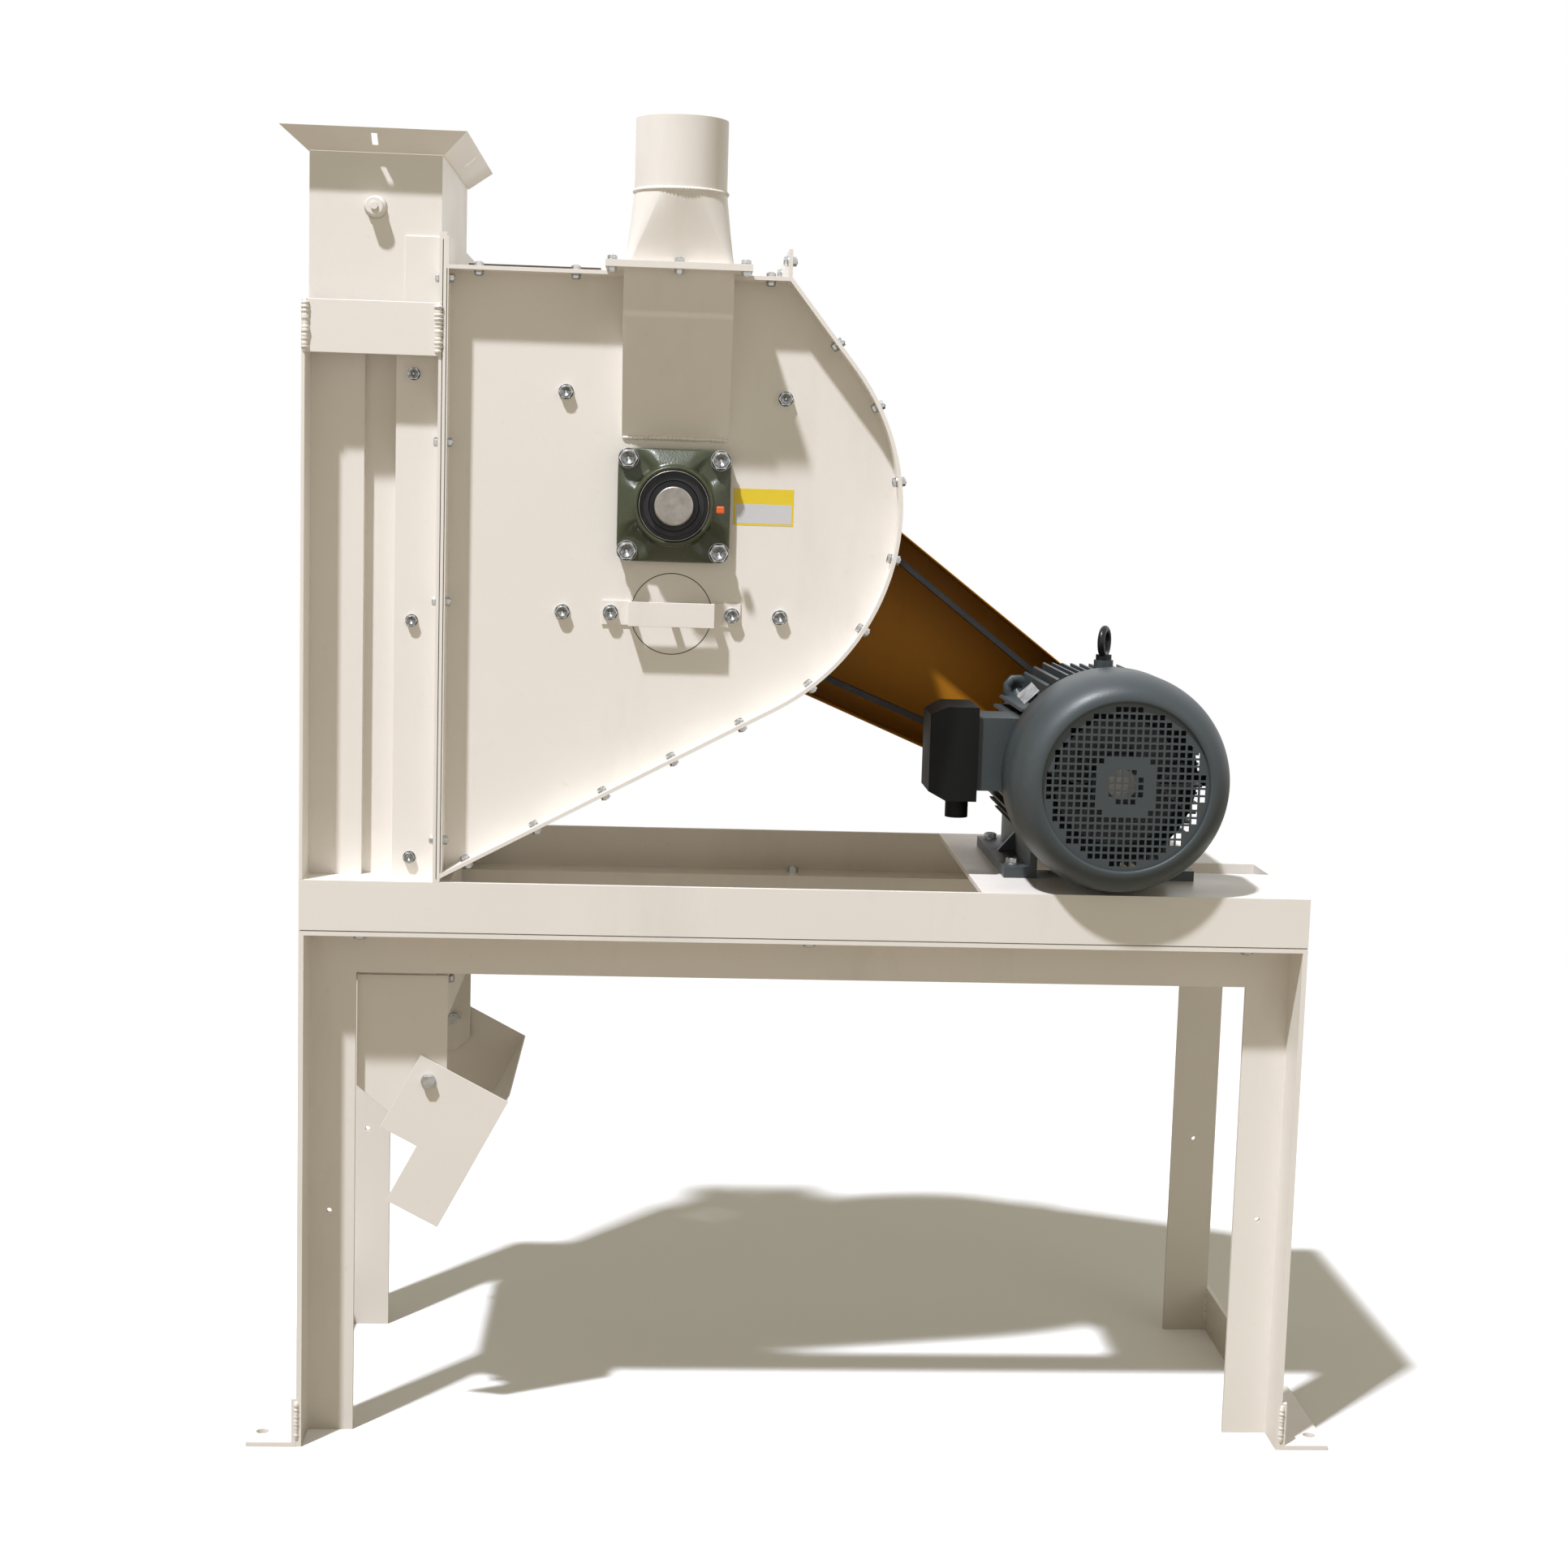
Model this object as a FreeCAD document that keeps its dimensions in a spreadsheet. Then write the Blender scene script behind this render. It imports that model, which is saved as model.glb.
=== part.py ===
import FreeCAD, Part
import math
import os
import re
import Sketcher
from FreeCAD import Placement, Rotation, Vector

# A belt driven coffee huller on an angle-iron stand. X runs to the right along the front,
# Y runs from the front to the back and Z is up. The origin lies on the floor, at the
# centre of the four anchor holes. Lengths are in millimetres and angles in degrees.

doc = FreeCAD.newDocument("coffee_huller")
sizes = doc.addObject("Spreadsheet::Sheet", "sizes")
places = doc.addObject("Spreadsheet::Sheet", "places")

SIZES = [
    ("frame_length", 1600, "stand, over the legs"),
    ("frame_depth", 640, "stand, front face to back face"),
    ("rail_top", 920, "top of the base frame above the floor"),
    ("angle_leg", 80, "width of each leg of the angle iron"),
    ("angle_wall", 8, "thickness of the angle iron"),
    ("anchor_radius", 10, "anchor hole in the floor rails"),
    ("anchor_reach", 60, "anchor hole outside the end of the stand"),
    ("anchor_inset", 45, "anchor hole from the end of its rail"),
    ("leg_hole_radius", 4, "small hole in the web of each leg"),
    ("leg_hole_height", 368, "height of that hole"),
    ("frame_bolt_radius", 6, "bolts between stand and base frame"),
    ("frame_bolt_inset", 90, "outer frame bolts from the ends"),
    ("floor_plate_wall", 8, "plate that the air column stands on"),
    ("floor_plate_reach", 232, "its right edge from the left end"),
    ("column_width", 212, "air column over its side plates"),
    ("column_wall", 6, "side plates of the air column"),
    ("column_height", 890, "left side plate, above the rails"),
    ("column_lip", 996, "right side plate, above the rails"),
    ("crossbar_height", 80, "crossbars between the side plates"),
    ("ledge_rise", 5, "ledge of the air box above the lower edge of the crossbars"),
    ("sheet_wall", 3, "thickness of the folded sheets"),
    ("panel_near", 45, "near fold of the front panel from the front"),
    ("panel_middle", 62, "left fold of the front panel"),
    ("panel_far", 80, "deepest fold of the front panel"),
    ("panel_left_width", 82, "width of the left fold"),
    ("panel_bolt_radius", 5, "bolts of the front and back panels"),
    ("panel_bolt_inset", 41, "those bolts from the right side plate"),
    ("panel_bolt_low", 32, "lowest of those bolts above the rails"),
    ("panel_bolt_middle", 405, "the bolt above it"),
    ("panel_bolt_high", 784, "the highest one"),
    ("panel_far_width", 50, "width of the deepest fold"),
    ("box_ledge", 10, "plate under the air box, beyond the box"),
    ("box_recess", 35, "air box behind the front edge of the column"),
    ("box_top", 2036, "top edge of the air box above the floor"),
    ("flare_reach", 37, "flare, outwards from the box"),
    ("flare_rise", 29, "flare, upwards from the box"),
    ("flare_slot_length", 18, "slot in each sheet of the flare"),
    ("flare_slot_width", 9, "width of that slot"),
    ("flare_slot_reach", 22, "middle of that slot from the box"),
    ("flap_height", 1952, "damper spindle above the floor"),
    ("flap_radius", 6, "damper spindle"),
    ("flap_boss_radius", 13, "boss round the spindle"),
    ("flap_boss_length", 22, "boss, out from the box"),
    ("flap_gap", 4, "damper flap to the walls of the box"),
    ("chute_left", 80, "discharge chute from the left end"),
    ("chute_width", 144, "discharge chute, across"),
    ("chute_front", 90, "discharge chute from the front"),
    ("chute_depth", 448, "discharge chute, front to back"),
    ("chute_top", 753, "top edge of the discharge chute"),
    ("chute_right_bottom", 685, "lower edge of its right wall"),
    ("chute_left_bottom", 571, "lower edge of its left wall"),
    ("chute_tip", 522, "lowest point of its end walls"),
    ("chute_slant", 56, "slanted lower left edge of the end walls, across"),
    ("chute_corner", 24, "cut lower right corner of the end walls"),
    ("chute_bolt_inset", 25, "bolts of the neck from the end walls"),
    ("neck_lap", 18, "neck inside the discharge chute"),
    ("spout_wall", 2, "sheet of the tilting spout"),
    ("spout_tilt", 28, "tilt of the spout as it is set"),
    ("spout_width", 160, "spout across its head"),
    ("spout_length", 238, "long edge of the spout"),
    ("spout_head", 135, "short edge beside the head"),
    ("spout_mouth", 94, "spout across its mouth"),
    ("spout_gap", 4, "spout cheeks to the chute"),
    ("pivot_inset", 31, "pivot from the corner edges of the cheek"),
    ("pivot_from_left", 195, "pivot from the left end"),
    ("pivot_height", 581, "pivot above the floor"),
    ("pivot_radius", 6, "pivot bolts"),
    ("sleeve_wall", 4, "sleeves on the pivot bolts"),
    ("casing_radius", 355, "round part of the casing"),
    ("casing_depth", 500, "casing and column, front to back"),
    ("casing_top", 1868, "top of the casing above the floor"),
    ("casing_corner", 741, "top right corner from the left end"),
    ("casing_foot", 6, "lower left corner above the rails"),
    ("casing_wall", 5, "flat wall between casing and column"),
    ("plate_wall", 6, "end plates of the casing"),
    ("plate_recess", 45, "end plates behind the rims"),
    ("joint_rise", 42, "bolted joint lips above the casing"),
    ("joint_bolt_rise", 25, "bolts of those lips above the casing"),
    ("window_height", 420, "window between casing and column"),
    ("window_bottom", 1010, "lower edge of the window"),
    ("window_margin", 70, "window from the end rims"),
    ("shaft_from_left", 568, "rotor axis from the left end"),
    ("shaft_height", 1515, "rotor axis above the floor"),
    ("shaft_radius", 30, "rotor shaft"),
    ("shaft_hole_gap", 4, "holes of the end plates round the shaft"),
    ("shaft_end", 16, "shaft end behind the pulley"),
    ("shaft_front", 32, "shaft end in front of the casing rim"),
    ("drum_radius", 110, "hulling drum"),
    ("drum_wall", 18, "wall and web of the drum"),
    ("drum_gap", 20, "drum to the end plates"),
    ("rib_count", 6, "hulling ribs"),
    ("rib_height", 20, "hulling ribs, out from the drum"),
    ("rib_width", 16, "hulling ribs, across"),
    ("rib_turn", 30, "first rib above the level line, in degrees"),
    ("screen_radius", 190, "inside of the screen cage"),
    ("ring_width", 65, "end rings of the screen cage"),
    ("ring_wall", 8, "thickness of the end rings"),
    ("slot_columns", 4, "slots in each row"),
    ("slot_rows", 10, "rows of slots in the lower half of the screen"),
    ("slot_width", 6, "width of each slot"),
    ("slot_margin", 16, "plain strip beside the ends of the slots"),
    ("bar_reach", 44, "hulling bar, in from the screen"),
    ("bar_height", 26, "hulling bar, upright"),
    ("plate_bolt_radius", 6, "bolts of the screen cage"),
    ("plate_bolt_offset", 170, "those bolts from the axis, each way"),
    ("housing_width", 175, "square bearing housing"),
    ("housing_flange", 18, "thickness of its flange"),
    ("housing_depth", 48, "depth of the housing"),
    ("housing_boss_radius", 63, "round body of the housing"),
    ("housing_bolt_pitch", 143, "bolt holes of the housing"),
    ("housing_bolt_radius", 8, "bolts of the housing"),
    ("bearing_radius", 55, "outside of the bearing"),
    ("race_radius", 47, "inside of the outer ring"),
    ("inner_radius", 38, "outside of the inner ring"),
    ("ball_count", 14, "balls in each bearing"),
    ("ball_radius", 8, "balls of the bearings"),
    ("ball_circle", 42.5, "circle of the ball centres"),
    ("bearing_width", 31, "width of the outer ring"),
    ("inner_length", 53, "length of the inner ring"),
    ("hatch_radius", 63, "round hatch in the front plate"),
    ("hatch_drop", 169, "hatch centre below the axis"),
    ("strap_width", 38, "strap over the hatch"),
    ("strap_length", 217, "length of the strap"),
    ("strap_rise", 32, "raised middle of the strap"),
    ("strap_raised", 128, "length of the raised middle"),
    ("strap_pitch", 190, "bolts of the strap"),
    ("feed_width", 166, "feed chute, across"),
    ("feed_reach", 50, "feed chute in front of the rim"),
    ("feed_straight", 70, "upright part of the feed chute"),
    ("feed_bottom", 1618, "lower end of the feed chute"),
    ("feed_flange_margin", 27, "flange around the feed chute"),
    ("feed_flange_wall", 5, "each feed flange"),
    ("pipe_radius", 70, "feed pipe"),
    ("pipe_seam", 1986, "weld between transition and pipe"),
    ("pipe_top", 2094, "top of the feed pipe"),
    ("feed_mouth", 60, "height of the opening behind the feed chute"),
    ("mouth_side", 10, "that opening from the sides of the chute"),
    ("mouth_sill", 8, "that opening above the lower end of the chute"),
    ("hopper_corner", 8, "rounded corners of the transition"),
    ("feed_bolt_pitch", 100, "bolts along the feed flange"),
    ("edge_bolt_radius", 4, "bolts around the rims"),
    ("edge_bolt_depth", 20, "those bolts behind the rim's edge"),
    ("edge_bolt_pitch", 120, "those bolts along the straight edges"),
    ("edge_bolt_turn", 19.7, "those bolts around the curve, in degrees"),
    ("edge_bolt_first", 11, "the first of them below the upper tangent, in degrees"),
    ("edge_bolt_upper", 46, "bolt on the upper straight edge, from the tangent"),
    ("rim_seat", 0.15, "heads of the edge bolts off the curve of the rims"),
    ("top_bolt_left", 47, "first bolt along the top, from the flat wall"),
    ("top_bolt_middle", 194, "second bolt along the top, from the flat wall"),
    ("top_bolt_right", 29, "last bolt along the top, from the corner"),
    ("wall_bolt_lowest", 64, "bolts through the flat wall above the rails"),
    ("wall_bolt_low", 437, "the next one"),
    ("wall_bolt_high", 681, "the next one"),
    ("wall_bolt_top", 929, "the highest one"),
    ("motor_from_left", 1284, "motor axis from the left end"),
    ("motor_height", 180, "motor axis above its feet"),
    ("motor_front", 50, "fan cover in front of the stand"),
    ("motor_radius", 142, "motor frame under its fins"),
    ("motor_wall", 21, "wall of the motor frame"),
    ("fin_reach", 158, "square envelope of the fins, from the axis"),
    ("fin_round", 171, "rounded corners of that envelope, from the axis"),
    ("fin_lead", 55, "fins behind the fan cover"),
    ("fin_tail", 88, "fins in front of the drive end"),
    ("fin_pitch", 16.3, "distance between fins"),
    ("fin_count", 6, "fins on each side of the middle one"),
    ("fin_wall", 4, "thickness of a fin"),
    ("motor_shaft_radius", 24, "motor shaft"),
    ("motor_end", 34, "drive end of the motor behind the second bolts"),
    ("foot_front", 195, "front foot bolts from the stand's front"),
    ("foot_spacing", 279, "foot bolts along the motor"),
    ("foot_pitch", 279, "foot bolts across the motor"),
    ("foot_width", 318, "feet over their outer edges"),
    ("foot_breadth", 55, "each foot, across"),
    ("foot_wall", 17, "thickness of the feet"),
    ("foot_lead", 42, "feet in front of the first bolts"),
    ("foot_tail", 28, "feet behind the second bolts"),
    ("foot_web", 12, "wall between each foot and the frame"),
    ("foot_rib", 40, "reach and height of the rib on each foot"),
    ("foot_bolt_radius", 6, "foot bolts"),
    ("cover_radius", 177, "fan cover"),
    ("cover_length", 150, "fan cover along the motor"),
    ("cover_shoulder", 75, "rounded shoulder of the fan cover, along the motor"),
    ("cover_flat", 4, "flat edge round the lip of the fan cover"),
    ("cover_lip", 8, "lip turned inwards round the grille"),
    ("grille_radius", 133, "perforated disc of the fan cover"),
    ("grille_depth", 6, "perforated disc behind the front of the cover"),
    ("grille_pitch", 11.6, "pitch of the square holes"),
    ("grille_hole", 8.3, "side of the square holes"),
    ("grille_rows", 11, "rows of holes on each side of the middle"),
    ("grille_reach", 123.5, "centres of the outermost holes from the middle"),
    ("grille_blank", 4, "rows left solid on each side of the middle"),
    ("grille_core", 2, "rows of the small field in the middle, on each side of its centre"),
    ("fan_start", 40, "fan behind the front of its cover"),
    ("fan_width", 40, "fan along the motor"),
    ("fan_radius", 128, "fan over its blades"),
    ("fan_hub_radius", 48, "hub of the fan"),
    ("fan_disc_radius", 102, "back disc of the fan"),
    ("fan_blades", 9, "blades of the fan"),
    ("terminal_height", 155, "terminal box, upright"),
    ("terminal_width", 140, "terminal box along the motor"),
    ("terminal_start", 130, "terminal box from the stand's front"),
    ("terminal_from_left", 994, "terminal box from the left end"),
    ("terminal_low", 128, "terminal box above the rails"),
    ("terminal_depth", 78, "terminal box with its lid, out from its neck"),
    ("lid_depth", 28, "lid of the terminal box"),
    ("lid_slope", 14, "slanted edges of the lid"),
    ("neck_half", 60, "half the square neck between terminal box and frame"),
    ("wire_radius", 25, "passage for the wires"),
    ("gland_radius", 19, "cable gland"),
    ("gland_length", 34, "cable gland below the box"),
    ("gland_start", 54, "middle of the gland from the face of the lid"),
    ("core_radius", 80, "rotor core of the motor"),
    ("shield_wall", 12, "end shields and cover lugs of the motor"),
    ("eye_height", 211, "eye bolt ring above the motor axis"),
    ("eye_radius", 21, "middle of the eye bolt's ring"),
    ("eye_wire", 6, "ring of the eye bolt"),
    ("eye_shank", 5, "shank of the eye bolt"),
    ("eye_thread", 20, "eye bolt inside its boss"),
    ("eye_boss_radius", 16, "boss under the eye bolt"),
    ("eye_boss_top", 181, "top of that boss above the motor axis"),
    ("eye_collar", 13, "collar of the eye bolt"),
    ("mount_left", 1071, "motor mount from the left end"),
    ("mount_strip", 60, "cross strip of the motor mount"),
    ("mount_front_reach", 240, "front bar of the motor mount"),
    ("mount_back_start", 350, "back bar of the motor mount"),
    ("mount_drop", 60, "downturned edges of the motor mount"),
    ("big_pulley_radius", 180, "pulley on the rotor"),
    ("small_pulley_radius", 70, "pulley on the motor"),
    ("pulley_rim", 30, "rim of the big pulley, radially"),
    ("pulley_hub", 50, "hub of the big pulley"),
    ("pulley_recess", 24, "recess on each side of its web"),
    ("pulley_width", 66, "both pulleys"),
    ("pulley_start", 533, "both pulleys from the stand's front"),
    ("belt_count", 3, "belts"),
    ("belt_pitch", 19, "distance between belts"),
    ("belt_width", 16, "top of a belt"),
    ("belt_height", 10, "height of a belt"),
    ("guard_big_radius", 213, "guard round the rotor pulley"),
    ("guard_small_radius", 108, "guard round the motor pulley"),
    ("guard_start", 512, "front edge of the guard"),
    ("guard_depth", 112, "guard, front to back"),
    ("guard_pillar", 8, "pillars behind the guard"),
    ("pillar_turn", 80, "angle between those pillars"),
    ("guard_wall", 2, "sheet of the guard"),
    ("fit", 0.3, "gap between parts that move or slide together"),
    ("running", 0.05, "radial gap of a running fit"),
    ("bolt_gap", 0.5, "bolt holes larger than their bolts"),
    ("lead", 2, "drills beyond the clamped parts"),
]

PLACES = [
    ("left_end", "-frame_length / 2"),
    ("right_end", "frame_length / 2"),
    ("front", "-frame_depth / 2"),
    ("back", "frame_depth / 2"),
    ("ring_top", "rail_top - angle_leg"),
    ("column_right", "left_end + column_width"),
    ("wall_right", "column_right + casing_wall"),
    ("casing_back", "front + casing_depth"),
    ("box_front", "front + box_recess"),
    ("box_back", "casing_back - box_recess"),
    ("box_left", "left_end + column_wall"),
    ("box_right", "column_right - column_wall"),
    ("ring_floor", "rail_top + column_height - crossbar_height + ledge_rise"),
    ("box_floor", "ring_floor + sheet_wall"),
    ("axis_x", "left_end + shaft_from_left"),
    ("plate_front", "front + plate_recess"),
    ("plate_back", "casing_back - plate_recess"),
    ("motor_x", "left_end + motor_from_left"),
    ("motor_z", "rail_top + motor_height"),
    ("cover_front", "front - motor_front"),
    ("cover_back", "cover_front + cover_length"),
    ("foot_first", "front + foot_front"),
    ("foot_second", "foot_first + foot_spacing"),
    ("motor_back", "foot_second + motor_end"),
    ("pulley_front", "front + pulley_start"),
    ("first_belt", "pulley_front + pulley_width / 2 - (belt_count - 1) / 2 * belt_pitch"),
    ("pulley_back", "pulley_front + pulley_width"),
    ("guard_front", "front + guard_start"),
    ("guard_back", "guard_front + guard_depth"),
    ("chute_x", "left_end + chute_left"),
    ("chute_right", "chute_x + chute_width"),
    ("chute_near", "front + chute_front"),
    ("chute_far", "chute_near + chute_depth"),
    ("pivot_x", "left_end + pivot_from_left"),
    ("feed_left", "axis_x - feed_width / 2"),
    ("feed_right", "axis_x + feed_width / 2"),
    ("feed_front", "front - feed_reach"),
    ("feed_y", "(feed_front + plate_front) / 2"),
    ("flange_top", "casing_top + 2 * feed_flange_wall"),
    ("hatch_z", "shaft_height - hatch_drop"),
    ("corner_x", "left_end + casing_corner - axis_x"),
    ("corner_z", "casing_top - shaft_height"),
    ("corner_turn", "atan2(corner_z; corner_x) / 1deg"),
    ("corner_lean", "acos(casing_radius / sqrt(corner_x ^ 2 + corner_z ^ 2)) / 1deg"),
    ("upper_angle", "corner_turn - corner_lean"),
    ("foot_x", "wall_right - axis_x"),
    ("foot_z", "rail_top + casing_foot - shaft_height"),
    ("foot_turn", "atan2(foot_z; foot_x) / 1deg"),
    ("foot_lean", "acos(casing_radius / sqrt(foot_x ^ 2 + foot_z ^ 2)) / 1deg"),
    ("lower_angle", "foot_turn + foot_lean"),
    ("plate_inner", "plate_front + plate_wall"),
    ("back_inner", "plate_back - plate_wall"),
    ("lip_x", "left_end + casing_corner - sheet_wall"),
    ("feed_slope", "(casing_top - feed_straight - feed_bottom) / (feed_reach + plate_recess)"),
    ("feed_shift", "sheet_wall * sqrt(1 + feed_slope ^ 2)"),
    ("flap_half", "(box_right - box_left) / 2 - sheet_wall - flap_gap"),
    ("flap_x", "(box_left + box_right) / 2"),
    ("grip_wall", "column_wall + casing_wall + sheet_wall"),
    ("chute_grip", "chute_right - box_right + sheet_wall + fit"),
    ("terminal_x", "left_end + terminal_from_left"),
    ("terminal_right", "terminal_x + terminal_depth"),
    ("neck_y", "front + terminal_start + terminal_width / 2"),
    ("neck_z", "rail_top + terminal_low + terminal_height / 2"),
    ("centre_distance", "sqrt((motor_x - axis_x) ^ 2 + (motor_z - shaft_height) ^ 2)"),
    ("drive_angle", "atan2(motor_z - shaft_height; motor_x - axis_x) / 1deg"),
]

SIZE_NAMES = {row[0] for row in SIZES}
PLACE_NAMES = {row[0] for row in PLACES}


def qualified(text):
    """The formula with each name led by the sheet that holds it."""
    def lead(match):
        word = match.group(0)
        if word in SIZE_NAMES:
            return "sizes." + word
        if word in PLACE_NAMES:
            return "places." + word
        return word
    return re.sub(r"[a-z][a-z_]*", lead, str(text))


def fill(sheet, rows):
    """One row of the sheet for each value: its name, its content and a note."""
    for line, (alias, content, note) in enumerate(rows, start=1):
        sheet.set("A%d" % line, alias)
        sheet.set("B%d" % line, content)
        sheet.setAlias("B%d" % line, alias)
        sheet.set("C%d" % line, note)


fill(sizes, [(alias, str(number), note) for alias, number, note in SIZES])
doc.recompute()
fill(places, [(alias, "=" + qualified(text).replace("places.", ""), "") for alias, text in PLACES])
doc.recompute()

nodes = []


def bind(thing, prop, text):
    """Tie a property to a formula of the two sheets."""
    thing.setExpression(prop, qualified(text))


def node(thing, label):
    """Count a finished object as a sub-part; its label names its file."""
    thing.Label = label
    nodes.append(thing)
    return thing


def move(thing, x, y, z):
    """Tie the place of an object to three formulas."""
    bind(thing, "Placement.Base.x", x)
    bind(thing, "Placement.Base.y", y)
    bind(thing, "Placement.Base.z", z)
    return thing


def block(name, x, y, z):
    """A box between pairs of formulas along X, Y and Z."""
    box = doc.addObject("Part::Box", name)
    bind(box, "Length", "%s - (%s)" % (x[1], x[0]))
    bind(box, "Width", "%s - (%s)" % (y[1], y[0]))
    bind(box, "Height", "%s - (%s)" % (z[1], z[0]))
    return move(box, x[0], y[0], z[0])


def rod(name, radius, length, x, y, z, turn="0", about="y"):
    """A cylinder from a point, its axis turned from Z about Y or about X."""
    bar = doc.addObject("Part::Cylinder", name)
    bar.Placement = Placement(Vector(), Rotation(Vector(about == "x", about == "y", 0), 1))
    bind(bar, "Radius", radius)
    bind(bar, "Height", length)
    bind(bar, "Placement.Rotation.Angle", turn)
    return move(bar, x, y, z)


def along_y(name, radius, length, x, y, z):
    """A cylinder that runs towards the back."""
    return rod(name, radius, length, x, y, z, "-90", "x")


def fused(name, parts):
    """Welded or cast together."""
    whole = doc.addObject("Part::MultiFuse", name)
    whole.Shapes = parts
    return whole


def group(name, parts):
    """Separate solids that share one object."""
    several = doc.addObject("Part::Compound", name)
    several.Links = parts
    return several


def cut(name, base, tools):
    """The base less each tool."""
    rest = doc.addObject("Part::Cut", name)
    rest.Base = base
    rest.Tool = tools[0] if len(tools) == 1 else group(name + "_tools", tools)
    return rest


def drill(name, radius, grip, x, y, z, turn, about="y"):
    """A drill from the seat of a bolt's head through the parts that it clamps."""
    if about == "y":
        x = "%s - lead * sin(%s)" % (x, turn)
    else:
        y = "%s + lead * sin(%s)" % (y, turn)
    z = "%s - lead * cos(%s)" % (z, turn)
    return rod(name, radius + " + bolt_gap", "%s + 2 * lead" % grip, x, y, z, turn, about)


def hexagon(across, height, base):
    """A hexagonal prism on Z."""
    corners = [Vector(across / math.sqrt(3) * math.cos(math.radians(60 * k)),
                      across / math.sqrt(3) * math.sin(math.radians(60 * k)), base) for k in range(7)]
    return Part.Face(Part.makePolygon(corners)).extrude(Vector(0, 0, height))


def bolt_shape(radius, grip, nut=True):
    """A hexagon bolt with washer, and a nut unless it ends inside, seated at Z 0 with its shank up Z."""
    across = 3.2 * radius
    washer = 0.35 * radius
    head = hexagon(across, 1.3 * radius, -washer - 1.3 * radius)
    disc = Part.makeCylinder(2 * radius, washer, Vector(0, 0, -washer))
    reach = grip + 2 * radius if nut else grip - 1
    shank = Part.makeCylinder(radius, reach + washer, Vector(0, 0, -washer))
    ends = [hexagon(across, 1.6 * radius, grip)] if nut else []
    return head.fuse([disc, shank] + ends).removeSplitter()


def bolts(label, sets, alone=True):
    """Bolts in their drilled holes; each set gives its drills, bolt radius, grip and whether it has nuts."""
    doc.recompute()
    seat = Placement(Vector(0, 0, sizes.lead), Rotation())
    shapes = []
    for drills, radius, grip, *nut in sets:
        pattern = bolt_shape(radius, grip, *nut)
        for hole in drills:
            copy = pattern.copy()
            copy.Placement = hole.Placement.multiply(seat)
            shapes.append(copy)
    return feature(label, Part.makeCompound(shapes), alone)


def feature(label, shape, alone=True):
    """A shape that is worked out here, as a sub-part of its own or for a group."""
    thing = doc.addObject("Part::Feature", label)
    thing.Shape = shape
    return node(thing, label) if alone else thing


def body(name):
    return doc.addObject("PartDesign::Body", name)


def sketch(owner, name, role, height="0"):
    """A sketch on one of the body's own planes, raised along the plane's normal."""
    plane = next(item for item in owner.Origin.OriginFeatures if item.Role == role)
    drawing = owner.newObject("Sketcher::SketchObject", name)
    drawing.AttachmentSupport = [(plane, "")]
    drawing.MapMode = "FlatFace"
    bind(drawing, "AttachmentOffset.Base.z", height)
    return drawing


def worked_out(drawing, text):
    """The present value of a formula."""
    value = drawing.evalExpression(qualified(text))
    return getattr(value, "Value", value)


def fix(drawing, kind, where, text):
    """One dimension of a sketch, tied to a formula and started from its value."""
    drawing.addConstraint(Sketcher.Constraint(kind, *where, worked_out(drawing, text)))
    bind(drawing, "Constraints[%d]" % (drawing.ConstraintCount - 1), text)


def fix_point(drawing, edge, end, point):
    fix(drawing, "DistanceX", (-1, 1, edge, end), point[0])
    fix(drawing, "DistanceY", (-1, 1, edge, end), point[1])


def polygon(drawing, points):
    """A closed outline through points given as pairs of formulas."""
    count = len(points)
    first = drawing.GeometryCount
    ring = [Vector(100 * math.cos(2 * math.pi * k / count), 100 * math.sin(2 * math.pi * k / count), 0)
            for k in range(count)]
    for k in range(count):
        drawing.addGeometry(Part.LineSegment(ring[k], ring[(k + 1) % count]))
    for k in range(count):
        following = first + (k + 1) % count
        drawing.addConstraint(Sketcher.Constraint("Coincident", first + k, 2, following, 1))
    for k, point in enumerate(points):
        fix_point(drawing, first + k, 1, point)


def pad(owner, drawing, length, backwards=False):
    """Material on the sketch, along its normal or against it."""
    solid = owner.newObject("PartDesign::Pad", drawing.Name + "_pad")
    solid.Profile = drawing
    solid.Reversed = backwards
    bind(solid, "Length", length)
    return solid


def pocket(owner, drawing, length, backwards=False):
    """A recess from the sketch, against its normal or along it."""
    recess = owner.newObject("PartDesign::Pocket", drawing.Name + "_pocket")
    recess.Profile = drawing
    recess.Reversed = backwards
    bind(recess, "Length", length)
    return recess


def angle_iron(name, role, corner, legs, start, length):
    """An L section drawn on an origin plane from its corner and run along the normal."""
    owner = body(name)
    drawing = sketch(owner, name + "_section", role, start)
    across, up = corner
    side, top = legs
    polygon(drawing, [
        (across, up),
        ("%s + %s * angle_leg" % (across, side), up),
        ("%s + %s * angle_leg" % (across, side), "%s + %s * angle_wall" % (up, top)),
        ("%s + %s * angle_wall" % (across, side), "%s + %s * angle_wall" % (up, top)),
        ("%s + %s * angle_wall" % (across, side), "%s + %s * angle_leg" % (up, top)),
        (across, "%s + %s * angle_leg" % (up, top)),
    ])
    pad(owner, drawing, length)
    return owner


def frame_drills():
    """Holes of the bolts that join the base frame to the stand, drilled from below."""
    middle = "angle_leg / 2"
    spots = []
    for y in ("front + " + middle, "back - " + middle):
        spots += [(x, y) for x in ("left_end + frame_bolt_inset", "0", "right_end - frame_bolt_inset")]
    spots += [("left_end + " + middle, "0"), ("right_end - " + middle, "0")]
    return [drill("frame_drill_%d" % k, "frame_bolt_radius", "2 * angle_wall", x, y,
                  "ring_top - angle_wall", "0") for k, (x, y) in enumerate(spots)]


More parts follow.
